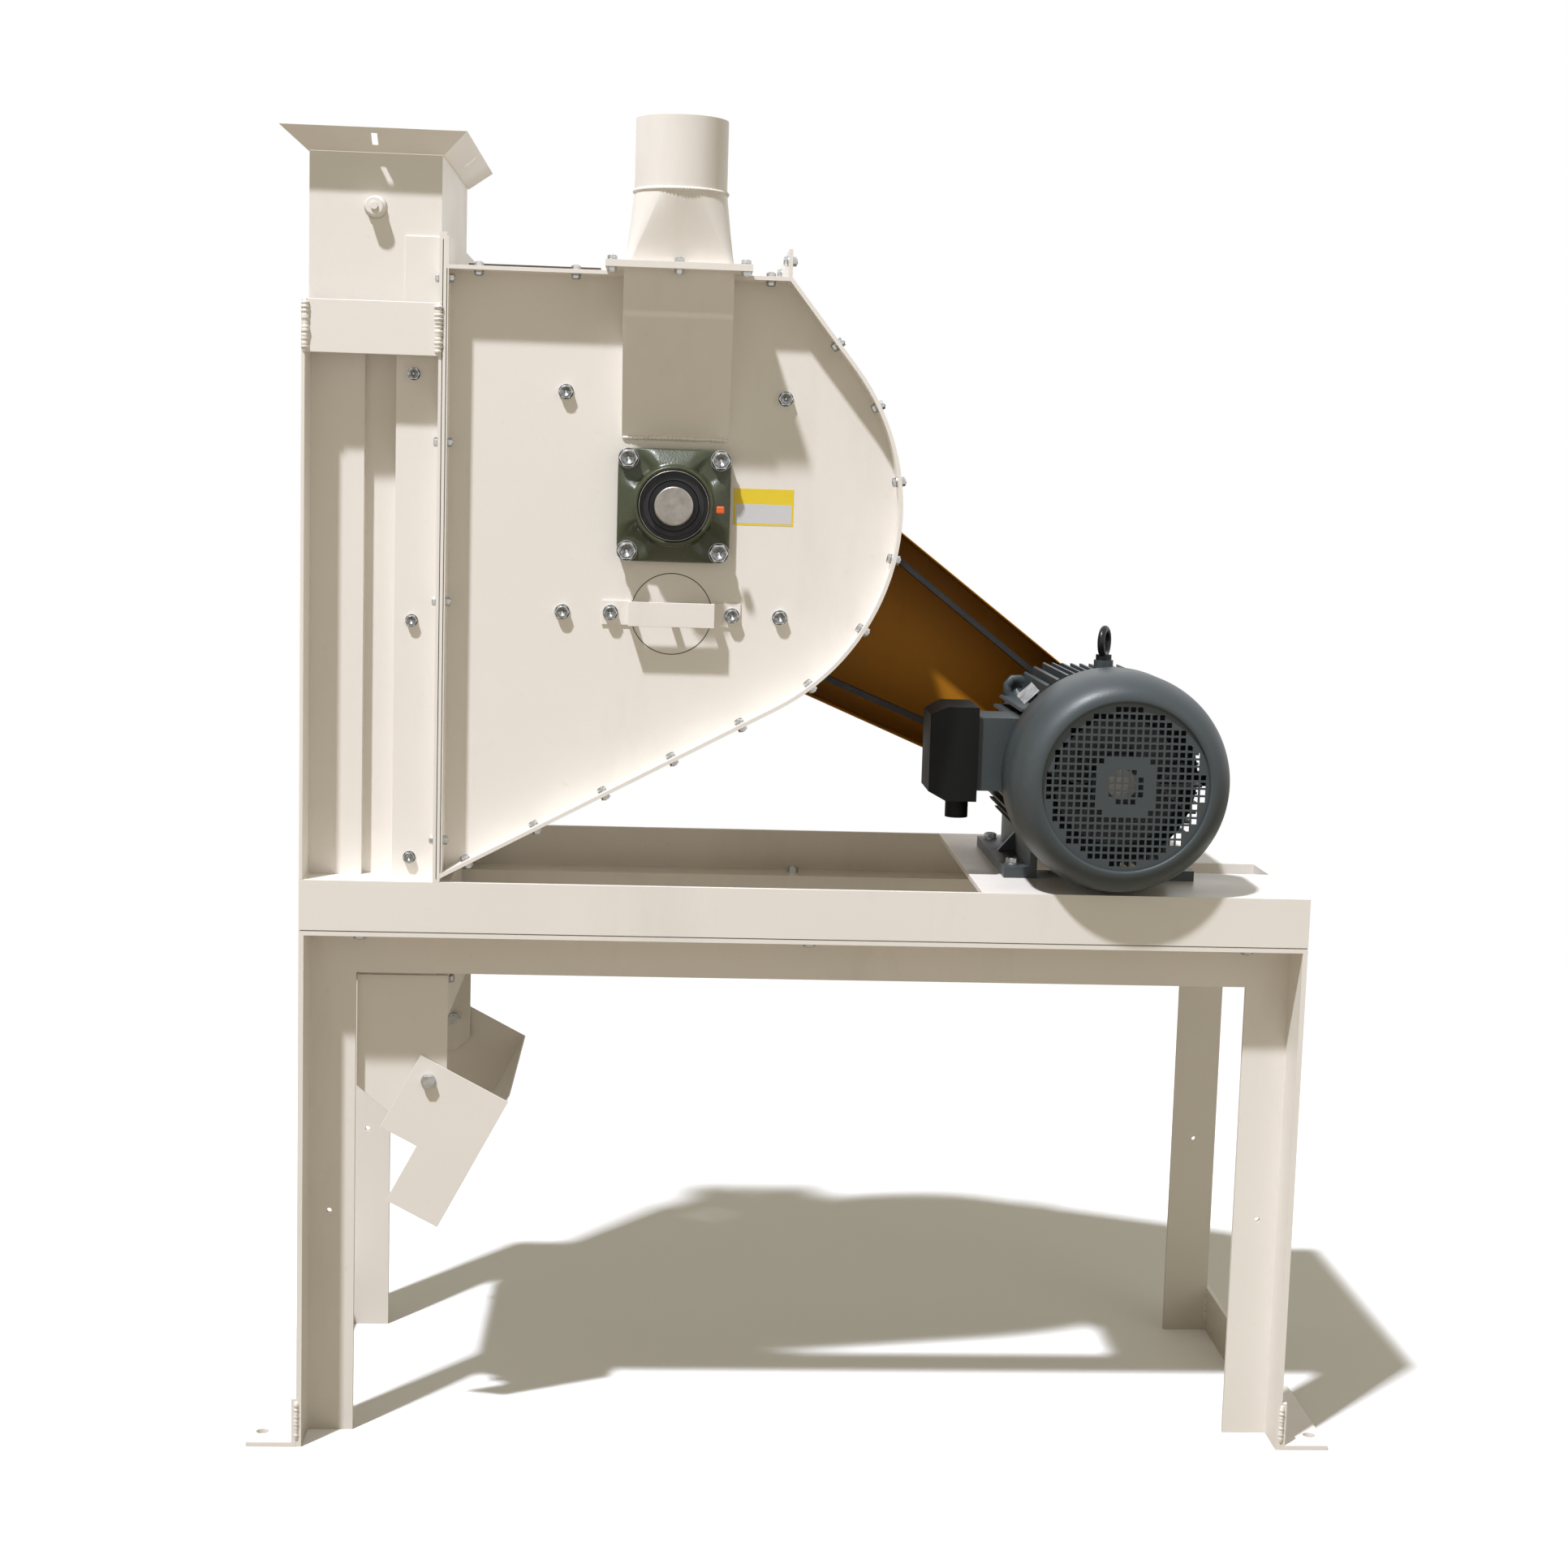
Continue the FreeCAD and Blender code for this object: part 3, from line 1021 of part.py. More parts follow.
def feed(feet):
    """Sloped feed chute in front of the plate, round-to-square transition and feed pipe."""
    outer = body("feed_outer")
    drawing = sketch(outer, "feed_outer_side", "YZ_Plane", "feed_left")
    polygon(drawing, [
        ("feed_front", "casing_top"),
        ("plate_front", "casing_top"),
        ("plate_front", "feed_bottom"),
        ("feed_front", "casing_top - feed_straight"),
    ])
    pad(outer, drawing, "feed_width")
    inner = body("feed_inner")
    drawing = sketch(inner, "feed_inner_side", "YZ_Plane", "feed_left + sheet_wall")
    high = "flange_top + 1"
    shift = " + feed_shift - feed_slope * sheet_wall"
    polygon(drawing, [
        ("feed_front + sheet_wall", high),
        ("plate_front", high),
        ("plate_front", "feed_bottom + feed_shift"),
        ("feed_front + sheet_wall", "casing_top - feed_straight" + shift),
    ])
    pad(inner, drawing, "feed_width - 2 * sheet_wall")
    x = ("feed_left - feed_flange_margin", "feed_right + feed_flange_margin")
    y = ("feed_front - feed_flange_margin", "plate_front + plate_wall + feed_flange_margin")
    flange = block("feed_flange", x, y, ("casing_top", "casing_top + feed_flange_wall"))
    node(cut("cut_feed", fused("feed_whole", [outer, flange]), [inner] + feet), "feed_chute")
    doc.recompute()
    wall = sizes.sheet_wall
    span_x = (places.feed_left, places.feed_right)
    span_y = (places.feed_front, places.plate_front)
    low = sizes.casing_top + sizes.feed_flange_wall
    seam = sizes.pipe_seam
    centre = Vector(places.axis_x, sum(span_y) / 2, seam)

    def hopper(inset):
        """Ruled surfaces from a rectangle to a circle, through matched points of both."""
        count = 8
        radius = sizes.pipe_radius - inset
        half_x = (span_x[1] - span_x[0]) / 2 - inset
        half_y = (span_y[1] - span_y[0]) / 2 - inset
        soft = sizes.hopper_corner - inset
        bulge = soft * (1 - math.sqrt(0.5))
        turns = []
        for sx, sy in ((1, 1), (-1, 1), (-1, -1), (1, -1)):
            turns.append((Vector(sx * (half_x - soft), sy * half_y, low - seam),
                          Vector(sx * half_x, sy * (half_y - soft), low - seam),
                          Vector(sx * (half_x - bulge), sy * (half_y - bulge), low - seam)))
        edges = []
        for k, (side_y, side_x, bend) in enumerate(turns):
            first, last = (side_x, side_y) if k % 2 == 0 else (side_y, side_x)
            edges.append(Part.Arc(centre + first, centre + bend, centre + last).toShape())
            after = turns[(k + 1) % 4]
            following = after[0] if k % 2 == 0 else after[1]
            edges.append(Part.LineSegment(centre + last, centre + following).toShape())
        spread = [math.radians(45 * k + 22.5) for k in range(-1, count - 1)]
        ring = [Vector(radius * math.cos(turn), radius * math.sin(turn), 0) for turn in spread]
        mids = [Vector(radius * math.cos(turn + math.pi / 8), radius * math.sin(turn + math.pi / 8), 0)
                for turn in spread]
        arcs = [Part.Arc(centre + ring[(k + 1) % count], centre + mids[(k + 1) % count],
                         centre + ring[(k + 2) % count]).toShape() for k in range(count)]
        return Part.makeLoft([Part.Wire(edges), Part.Wire(arcs)], True, True)

    flange_x = grown(span_x, sizes.feed_flange_margin)
    flange_y = (span_y[0] - sizes.feed_flange_margin, span_y[1] + sizes.plate_wall + sizes.feed_flange_margin)
    plate = Part.Face(rectangle(flange_x, flange_y, low)).extrude(Vector(0, 0, sizes.feed_flange_wall))
    shape = plate.fuse(hopper(0)).cut(hopper(wall))
    for hole in feet:
        shape = shape.cut(hole.Shape)
    feature("feed_transition", shape.removeSplitter())
    pipe = rod("pipe_blank", "pipe_radius", "pipe_top - pipe_seam", "axis_x", "feed_y", "pipe_seam")
    bore = rod("pipe_bore", "pipe_radius - sheet_wall", "pipe_top - pipe_seam + 2", "axis_x", "feed_y",
               "pipe_seam - 1")
    node(cut("cut_pipe", pipe, [bore]), "feed_pipe")
    grip = 2 * sizes.feed_flange_wall
    bolts("feed_bolts", [(feet[:3], sizes.edge_bolt_radius, grip),
                         (feet[3:], sizes.edge_bolt_radius, grip + sizes.sheet_wall)])


def bearings(front_bolts, back_bolts):
    """Square flanged housings with outer rings, balls and inner rings."""
    housings, outers, inners, balls = [], [], [], []
    for name, face, side, drills in (("front", "plate_front", -1, front_bolts),
                                     ("back", "plate_back", 1, back_bolts)):
        def span(near, far):
            ends = ("%s + %d * (%s)" % (face, side, near), "%s + %d * (%s)" % (face, side, far))
            return ends if side > 0 else (ends[1], ends[0])

        def sleeve(label, radius, bore, near, far):
            start, end = span(near, far)
            blank = along_y(label, radius, "%s - (%s)" % (end, start), "axis_x", start, "shaft_height")
            tool = along_y(label + "_bore", bore, "%s - (%s) + 2" % (end, start), "axis_x", start + " - 1",
                           "shaft_height")
            return blank, tool

        middle = "%s + %d * housing_depth / 2" % (face, side)
        half = "housing_width / 2"
        square = block("square_" + name, ("axis_x - " + half, "axis_x + " + half), span("0", "housing_flange"),
                       ("shaft_height - " + half, "shaft_height + " + half))
        boss, bore = sleeve("boss_" + name + "_bearing", "housing_boss_radius", "bearing_radius", "0",
                            "housing_depth")
        housings.append(cut("cut_housing_" + name, fused("housing_" + name, [square, boss]), [bore] + drills))
        groove = doc.addObject("Part::Torus", "groove_" + name)
        groove.Placement = Placement(Vector(), Rotation(Vector(1, 0, 0), 90))
        bind(groove, "Radius1", "ball_circle")
        bind(groove, "Radius2", "ball_radius + running")
        move(groove, "axis_x", middle, "shaft_height")
        edge = "(housing_depth - bearing_width) / 2"
        blank, bore = sleeve("outer_" + name, "bearing_radius", "race_radius", edge, edge + " + bearing_width")
        outers.append(cut("cut_outer_" + name, blank, [bore, groove]))
        blank, bore = sleeve("inner_" + name, "inner_radius", "shaft_radius", "sheet_wall",
                             "sheet_wall + inner_length")
        inners.append(cut("cut_inner_" + name, blank, [bore, groove]))
        for k in range(sizes.ball_count):
            ball = doc.addObject("Part::Sphere", "ball_%s_%d" % (name, k))
            bind(ball, "Radius", "ball_radius")
            turn = "360 / ball_count * %d" % k
            balls.append(move(ball, "axis_x + ball_circle * cos(%s)" % turn, middle,
                              "shaft_height + ball_circle * sin(%s)" % turn))
    node(group("housings", housings), "bearing_housings")
    node(group("outers", outers), "bearing_outer_rings")
    node(group("inners", inners), "bearing_inner_rings")
    node(group("balls", balls), "bearing_balls")


def spoke(name, turn, inner, outer, width, y, x, z):
    """A bar that points away from an axis along Y, between two radii."""
    bar = doc.addObject("Part::Box", name)
    bar.Placement = Placement(Vector(), Rotation(Vector(0, 1, 0), -1))
    bind(bar, "Placement.Rotation.Angle", turn)
    bind(bar, "Length", "%s - (%s)" % (outer, inner))
    bind(bar, "Width", "%s - (%s)" % (y[1], y[0]))
    bind(bar, "Height", width)
    return move(bar, "%s + (%s) * cos(%s) + %s / 2 * sin(%s)" % (x, inner, turn, width, turn), y[0],
                "%s + (%s) * sin(%s) - %s / 2 * cos(%s)" % (z, inner, turn, width, turn))


def rotor():
    """Shaft and ribbed drum."""
    end = "front - shaft_front"
    node(along_y("shaft", "shaft_radius", "pulley_back + shaft_end - (%s)" % end, "axis_x", end,
                 "shaft_height"), "rotor_shaft")
    y = ("plate_inner + drum_gap", "back_inner - drum_gap")
    drum = along_y("drum", "drum_radius", "%s - (%s)" % (y[1], y[0]), "axis_x", y[0], "shaft_height")
    bore = along_y("drum_bore", "shaft_radius", "casing_depth", "axis_x", "front", "shaft_height")
    tools = [bore]
    depth = "((%s) - (%s) - drum_wall) / 2" % (y[1], y[0])
    for name, start in (("front", y[0] + " - 1"), ("back", "%s - %s" % (y[1], depth))):
        space = along_y("drum_space_" + name, "drum_radius - drum_wall", depth + " + 1", "axis_x", start,
                        "shaft_height")
        hub = along_y("drum_hub_" + name, "pulley_hub", depth + " + 1", "axis_x", start, "shaft_height")
        tools.append(cut("drum_recess_" + name, space, [hub]))
    ribs = [spoke("rib_%d" % k, "360 / rib_count * %d + rib_turn" % k, "drum_radius - drum_wall / 2",
                  "drum_radius + rib_height", "rib_width", y, "axis_x", "shaft_height")
            for k in range(sizes.rib_count)]
    node(cut("cut_drum", fused("drum_whole", [drum] + ribs), tools), "hulling_drum")


def screen_cage(drills):
    """A tube in two halves between end rings, slotted below, with the fixed hulling bar inside it."""
    run = "back_inner - plate_inner"
    tube = along_y("screen_tube", "screen_radius + sheet_wall", run, "axis_x", "plate_inner", "shaft_height")
    rings = [along_y("screen_ring_" + name, "screen_radius + ring_width", "ring_wall", "axis_x", start,
                     "shaft_height")
             for name, start in (("front", "plate_inner"), ("back", "back_inner - ring_wall"))]
    bore = along_y("screen_bore", "screen_radius", run + " + 2", "axis_x", "plate_inner - 1", "shaft_height")
    reach = "screen_radius + 2 * sheet_wall"
    step = "(%s - 2 * ring_wall) / slot_columns" % run
    slots = []
    for column_number in range(sizes.slot_columns):
        start = "plate_inner + ring_wall + %s * %d + slot_margin" % (step, column_number)
        for k in range(sizes.slot_rows):
            slots.append(spoke("slot_%d_%d" % (column_number, k), "180 / slot_rows * (%d + 0.5)" % k,
                               "-(%s)" % reach, "0", "slot_width",
                               (start, "%s + %s - 2 * slot_margin" % (start, step)), "axis_x", "shaft_height"))
    whole = fused("cage_whole", [tube] + rings)
    outer = "(screen_radius + ring_width + 1)"
    halves = []
    for name, other, tools in (("upper", ("-1", "0"), []), ("lower", ("0", "1"), [group("slots", slots)])):
        rest = block("cage_below" if tools == [] else "cage_above", ("axis_x - " + outer, "axis_x + " + outer),
                     ("plate_inner - 1", "back_inner + 1"),
                     tuple("shaft_height + %s * %s" % (side, outer) for side in other))
        halves.append(cut("cage_" + name, whole, [bore, rest] + tools + drills))
    node(group("cage_halves", halves), "screen_cage")
    face = "axis_x - sqrt(screen_radius ^ 2 - bar_height ^ 2 / 4) + fit"
    node(block("bar", (face, "axis_x - screen_radius + bar_reach"), ("plate_inner", "back_inner"),
               ("shaft_height - bar_height / 2", "shaft_height + bar_height / 2")), "hulling_bar")


def loop(drawing, big, small):
    """The outline round both pulley axes: two arcs and their outer tangents."""
    lean = "acos((%s - %s) / centre_distance) / 1deg" % (big, small)
    circles = (("axis_x", "shaft_height", big), ("motor_x", "motor_z", small))
    corners = [("%s + %s * cos(drive_angle %s %s)" % (x, radius, sign, lean),
                "%s + %s * sin(drive_angle %s %s)" % (z, radius, sign, lean))
               for sign in "+-" for x, z, radius in circles]
    spots = [Vector(worked_out(drawing, x), worked_out(drawing, z), 0) for x, z in corners]
    drawing.addGeometry(Part.LineSegment(spots[0], spots[1]))
    drawing.addGeometry(Part.LineSegment(spots[2], spots[3]))
    middle = math.radians(places.drive_angle)
    bend = math.radians(worked_out(drawing, lean))
    for (x, z, radius), start, end in zip(circles, (middle + bend, middle - bend),
                                          (middle - bend + 2 * math.pi, middle + bend)):
        rim = Part.Circle(Vector(worked_out(drawing, x), worked_out(drawing, z), 0), Vector(0, 0, 1),
                          worked_out(drawing, radius))
        drawing.addGeometry(Part.ArcOfCircle(rim, start, end))
    for pair in ((2, 1, 0, 1), (2, 2, 1, 1), (3, 2, 0, 2), (3, 1, 1, 2)):
        drawing.addConstraint(Sketcher.Constraint("Coincident", *pair))
    for (edge, end), point in zip(((0, 1), (0, 2), (1, 1), (1, 2)), corners):
        fix_point(drawing, edge, end, point)
    fix(drawing, "Radius", (2,), big)
    fix(drawing, "Radius", (3,), small)


def ring_of_loop(name, big, small, inset, start, depth):
    """A closed band between two loops."""
    band = body(name)
    outer = sketch(band, name + "_outer", "XZ_Plane", "-(%s)" % start)
    loop(outer, big, small)
    pad(band, outer, depth, True)
    inner = sketch(band, name + "_inner", "XZ_Plane", "-(%s)" % start)
    loop(inner, "(%s - %s)" % (big, inset), "(%s - %s)" % (small, inset))
    return band, inner


def pulley(name, radius, bore, x, z):
    """A grooved pulley with a web between rim and hub."""
    blank = along_y(name + "_blank", radius, "pulley_width", x, "pulley_front", z)
    tools = [along_y(name + "_bore", bore, "pulley_width + 2", x, "pulley_front - 1", z)]
    for k in range(sizes.belt_count):
        width = "belt_width + 2 * fit"
        start = "first_belt + %d * belt_pitch - (%s) / 2" % (k, width)
        outer = along_y("%s_groove_%d" % (name, k), radius + " + 1", width, x, start, z)
        core = along_y("%s_core_%d" % (name, k), radius + " - belt_height - fit", width, x, start, z)
        tools.append(cut("%s_ring_%d" % (name, k), outer, [core]))
    if name == "huller_pulley":
        for k, start in enumerate(("pulley_front - 1", "pulley_back - pulley_recess")):
            outer = along_y("%s_recess_%d" % (name, k), radius + " - pulley_rim", "pulley_recess + 1",
                            x, start, z)
            core = along_y("%s_hub_%d" % (name, k), "pulley_hub", "pulley_recess + 1", x, start, z)
            tools.append(cut("%s_web_%d" % (name, k), outer, [core]))
    node(cut("cut_" + name, blank, tools), name)


def drive():
    """Two pulleys, three belts and the guard on its pillars."""
    pulley("huller_pulley", "big_pulley_radius", "shaft_radius", "axis_x", "shaft_height")
    pulley("motor_pulley", "small_pulley_radius", "motor_shaft_radius", "motor_x", "motor_z")
    belts = []
    for k in range(sizes.belt_count):
        start = "first_belt + %d * belt_pitch - belt_width / 2" % k
        band, inner = ring_of_loop("belt_%d" % k, "big_pulley_radius", "small_pulley_radius", "belt_height",
                                   start, "belt_width")
        pocket(band, inner, "belt_width")
        belts.append(band)
    node(group("belts", belts), "v_belts")
    cover, inner = ring_of_loop("guard_cover", "guard_big_radius", "guard_small_radius", "guard_wall",
                                "guard_front", "guard_depth")
    pocket(cover, inner, "guard_depth - guard_wall")
    stand_off = "(guard_big_radius - 2 * guard_pillar)"
    pillars = [along_y("pillar_%d" % (turn + 1), "guard_pillar", "guard_back - guard_wall - plate_back",
                       "axis_x + %s * cos(180 + pillar_turn * %d)" % (stand_off, turn), "plate_back",
                       "shaft_height + %s * sin(180 + pillar_turn * %d)" % (stand_off, turn))
               for turn in (-1, 0, 1)]
    strut = block("guard_strut", ("motor_x - angle_leg / 4", "motor_x + angle_leg / 4"),
                  ("guard_back", "back - angle_wall"), ("rail_top", "motor_z"))
    node(fused("guard_whole", [cover, strut] + pillars), "belt_guard")


def motor_mount(drills):
    """Plate on the base frame under the motor: a cross strip and two bars with downturned edges."""
    z = ("rail_top - angle_wall", "rail_top")
    strip = "left_end + mount_left"
    bar = "%s + mount_strip" % strip
    end = "right_end - angle_wall"
    front_edge = "front + mount_front_reach"
    back_edge = "front + mount_back_start"
    drop = ("rail_top - mount_drop", "rail_top")
    parts = [
        block("mount_cross", (strip, bar), ("front + angle_wall", "back - angle_wall"), z),
        block("mount_front", (bar, end), ("front + angle_wall", front_edge), z),
        block("mount_back", (bar, end), (back_edge, "back - angle_wall"), z),
        block("mount_front_drop", (bar, end), (front_edge + " - angle_wall", front_edge), drop),
        block("mount_back_drop", (bar, end), (back_edge, back_edge + " + angle_wall"), drop),
    ]
    node(cut("cut_mount", fused("mount_whole", parts), drills), "motor_mount")


def motor_foot(name, side, barrel, drills):
    """One long foot beside the motor axis, the wall that carries the frame, and a rib between them."""
    def x(near, far):
        ends = tuple("motor_x + %d * (%s)" % (side, away) for away in (near, far))
        return ends if side > 0 else ends[::-1]

    inner = "foot_width / 2 - foot_breadth"
    y = ("foot_first - foot_lead", "foot_second + foot_tail")
    top = "rail_top + foot_wall"
    pad_block = block("foot_" + name, x(inner, "foot_width / 2"), y, ("rail_top", top))
    wall = block("foot_wall_" + name, x(inner, inner + " + foot_web"), y,
                 ("rail_top", "motor_z - motor_radius / 2"))
    rib = body("foot_rib_" + name)
    drawing = sketch(rib, "foot_rib_side_" + name, "XZ_Plane", "-(foot_first + foot_second) / 2")
    start = inner + " + foot_web / 2"
    polygon(drawing, [
        ("motor_x + %d * (%s)" % (side, start), top + " - foot_web / 2"),
        ("motor_x + %d * (%s + foot_rib)" % (side, start), top + " - foot_web / 2"),
        ("motor_x + %d * (%s)" % (side, start), top + " + foot_rib"),
    ])
    pad(rib, drawing, "foot_web", True)
    return wall, cut("cut_foot_" + name, fused("foot_whole_" + name, [pad_block, wall, rib]), [barrel] + drills)


def motor_frame(drills):
    """Finned frame with its neck, feet, end shields and the lugs that carry the fan cover."""
    start = "cover_back - shield_wall"
    length = "motor_back - (%s)" % start
    frame = along_y("motor_blank", "motor_radius", length, "motor_x", start, "motor_z")
    barrel = along_y("motor_barrel", "motor_radius", length, "motor_x", start, "motor_z")
    y = ("cover_back + fin_lead", "motor_back - fin_tail")
    wide = ("-fin_reach", "fin_reach")
    slabs = []
    for k in range(-sizes.fin_count, sizes.fin_count + 1):
        thin = tuple("%d * fin_pitch %s fin_wall / 2" % (k, sign) for sign in "-+")
        for name, across, up in (("side", wide, thin), ("top", thin, wide)):
            slabs.append(block("fin_%s_%d" % (name, k + sizes.fin_count),
                               ["motor_x + " + end for end in across], y, ["motor_z + " + end for end in up]))
    arms = [block("lug_across", ("motor_x - cover_radius", "motor_x + cover_radius"), (start, "cover_back"),
                  ("motor_z - shield_wall", "motor_z + shield_wall")),
            block("lug_upright", ("motor_x - shield_wall", "motor_x + shield_wall"), (start, "cover_back"),
                  ("motor_z - cover_radius", "motor_z + cover_radius"))]
    lugs = doc.addObject("Part::Common", "lugs")
    lugs.Base = fused("lug_arms", arms)
    lugs.Tool = along_y("lug_limit", "cover_radius - guard_wall", "2 * shield_wall", "motor_x", start,
                        "motor_z")
    stator = ("cover_back + 4 * shield_wall", "motor_back - 5 * shield_wall")
    bores = [("stator_bore", "core_radius + 2 * fit", *stator),
             ("front_space", "motor_radius - motor_wall", "cover_back", stator[0]),
             ("back_space", "motor_radius - motor_wall", stator[1], "motor_back - shield_wall"),
             ("shaft_seat", "motor_shaft_radius + running", start + " - 1", "motor_back + 1")]
    tools = [along_y(name, radius, "%s - (%s)" % (far, near), "motor_x", near, "motor_z")
             for name, radius, near, far in bores]
    neck = block("neck_block", ("terminal_right", "motor_x"), ("neck_y - neck_half", "neck_y + neck_half"),
                 ("neck_z - neck_half", "neck_z + neck_half"))
    wires = rod("wires", "wire_radius", "motor_x - motor_radius + motor_wall - (terminal_right - 2 * fin_wall)",
                "terminal_right - 2 * fin_wall", "neck_y", "neck_z", "90")
    boss = rod("eye_boss", "eye_boss_radius", "eye_boss_top", "motor_x", "neck_y", "motor_z")
    thread = rod("eye_seat", "eye_shank + fit", "eye_thread + 1", "motor_x", "neck_y",
                 "motor_z + eye_boss_top - eye_thread")
    feet = [motor_foot(name, side, barrel, drills) for name, side in (("left", -1), ("right", 1))]
    fins = doc.addObject("Part::Common", "fins")
    fins.Base = fused("fin_slabs", slabs)
    fins.Tool = along_y("fin_limit", "fin_round", length, "motor_x", start, "motor_z")
    ribs = cut("cut_fins", fins, [neck] + [wall for wall, foot in feet])
    whole = fused("motor_whole", [ribs, frame, lugs, boss])
    solids = [cut("cut_motor", whole, tools + [wires, thread]), cut("cut_neck_block", neck, [barrel, wires])]
    node(group("motor_solids", solids + [foot for wall, foot in feet]), "motor_body")
    reach = ("%s + 5 * fit" % stator[0], "%s - 5 * fit" % stator[1])
    core = along_y("core", "core_radius", "%s - (%s)" % (reach[1], reach[0]), "motor_x", reach[0], "motor_z")
    tail = "cover_front + fan_start"
    bar = along_y("motor_bar", "motor_shaft_radius", "pulley_back + sheet_wall - (%s)" % tail, "motor_x", tail,
                  "motor_z")
    node(fused("motor_shaft_whole", [core, bar]), "motor_shaft")
    return wires


def motor_fan():
    """Hub, back disc and straight blades on the tail of the motor shaft."""
    y = ("cover_front + fan_start", "cover_front + fan_start + fan_width")
    hub = along_y("fan_hub", "fan_hub_radius", "fan_width", "motor_x", y[0], "motor_z")
    disc = along_y("fan_disc", "fan_disc_radius", "fin_wall", "motor_x", y[1] + " - fin_wall", "motor_z")
    root = "(fan_hub_radius + motor_shaft_radius) / 2"
    blades = [spoke("blade_%d" % k, "360 / fan_blades * %d" % k, root, "fan_radius", "fin_wall", y,
                    "motor_x", "motor_z") for k in range(sizes.fan_blades)]
    bore = along_y("fan_bore", "motor_shaft_radius", "fan_width + 2", "motor_x", y[0] + " - 1", "motor_z")
    node(cut("cut_fan", fused("fan_whole", [hub, disc] + blades), [bore]), "motor_fan")


def fan_cover():
    """Pressed cover, turned about the motor axis, and the perforated disc inside its lip."""
    wall = sizes.guard_wall
    lip = sizes.grille_radius
    flat = lip + sizes.cover_flat
    radius = sizes.cover_radius
    depth = sizes.cover_shoulder
    soft = 4 * (math.sqrt(2) - 1) / 3

    def shoulder(inset):
        """A quarter of an ellipse from the flat edge to the skirt, as one cubic curve."""
        across, along = radius - inset - flat, depth - inset
        curve = Part.BezierCurve()
        curve.setPoles([Vector(flat, inset, 0), Vector(flat + soft * across, inset, 0),
                        Vector(radius - inset, depth - soft * along, 0), Vector(radius - inset, depth, 0)])
        return curve.toShape()

    def line(*corners):
        return Part.makePolygon([Vector(x, y, 0) for x, y in corners]).Edges

    edges = line((lip, sizes.cover_lip), (lip, 0), (flat, 0)) + [shoulder(0)]
    edges += line((radius, depth), (radius, sizes.cover_length), (radius - wall, sizes.cover_length),
                  (radius - wall, depth)) + [shoulder(wall)]
    edges += line((flat, wall), (lip + wall, wall), (lip + wall, sizes.cover_lip), (lip, sizes.cover_lip))
    section = Part.Face(Part.Wire(Part.sortEdges(edges)[0]))
    shell = section.revolve(Vector(0, 0, 0), Vector(0, 1, 0), 360)
    shell.translate(Vector(places.motor_x, places.cover_front, places.motor_z))
    feature("fan_cover", shell)
    disc = along_y("grille_disc", "grille_radius", "guard_wall", "motor_x", "cover_front + grille_depth",
                   "motor_z")
    rows = [k + 0.5 for k in range(-sizes.grille_rows, sizes.grille_rows)]
    core = range(-sizes.grille_core, sizes.grille_core + 1)
    spots = [(i, j) for i in rows for j in rows if math.hypot(i, j) * sizes.grille_pitch < sizes.grille_reach
             and (max(abs(i), abs(j)) > sizes.grille_blank or abs(i) == abs(j) == sizes.grille_blank - 0.5)]
    spots += [(i, j) for i in core for j in core if abs(i) + abs(j) < 2 * sizes.grille_core]
    base = Part.makeBox(sizes.grille_hole, 3 * wall, sizes.grille_hole)
    corner = Vector(places.motor_x - sizes.grille_hole / 2, places.cover_front + sizes.grille_depth - wall,
                    places.motor_z - sizes.grille_hole / 2)
    holes = []
    for i, j in spots:
        hole = base.copy()
        hole.translate(corner + Vector(i, 0, j) * sizes.grille_pitch)
        holes.append(hole)
    field = feature("grille_holes", Part.makeCompound(holes), False)
    node(cut("cut_grille", disc, [field]), "fan_grille")


def motor_fittings(wires):
    """Terminal box with its slanted lid and gland, and the lifting eye."""
    seam = "terminal_x + lid_depth"
    z = ("rail_top + terminal_low", "rail_top + terminal_low + terminal_height")
    y = ("front + terminal_start", "front + terminal_start + terminal_width")
    box = block("terminal_blank", (seam, "terminal_right"), y, z)
    lid = doc.addObject("Part::Wedge", "terminal_lid")
    lid.Placement = Placement(Vector(), Rotation(Vector(0, 0, 1), 90))
    for prop, text in (("Xmin", "0"), ("Xmax", "terminal_width"), ("Ymin", "0"), ("Ymax", "lid_depth"),
                       ("Zmin", "0"), ("Zmax", "terminal_height"), ("X2min", "lid_slope"),
                       ("X2max", "terminal_width - lid_slope"), ("Z2min", "lid_slope"),
                       ("Z2max", "terminal_height - lid_slope")):
        bind(lid, prop, text)
    move(lid, seam, y[0], z[0])
    hollow = [(low + " + lid_slope", high + " - lid_slope") for low, high in (y, z)]
    space = block("terminal_space", ("terminal_x + 2 * fin_wall", "terminal_right - fin_wall"), *hollow)
    gland = rod("gland", "gland_radius", "gland_length", "terminal_x + gland_start", "neck_y",
                z[0] + " - gland_length")
    node(cut("cut_terminal", fused("terminal_whole", [box, lid, gland]), [space, wires]), "terminal_box")
    ring = doc.addObject("Part::Torus", "eye_ring")
    ring.Placement = Placement(Vector(), Rotation(Vector(0.42, 0.9, 0), 90))
    bind(ring, "Radius1", "eye_radius")
    bind(ring, "Radius2", "eye_wire")
    move(ring, "motor_x", "neck_y", "motor_z + eye_height")
    shank = rod("eye_shank_bar", "eye_shank", "eye_height - eye_radius - eye_boss_top + eye_thread", "motor_x",
                "neck_y", "motor_z + eye_boss_top - eye_thread")
    collar = rod("eye_collar_disc", "eye_collar", "eye_height - eye_radius - eye_boss_top", "motor_x", "neck_y",
                 "motor_z + eye_boss_top")
    node(fused("eye_whole", [ring, shank, collar]), "eye_bolt")


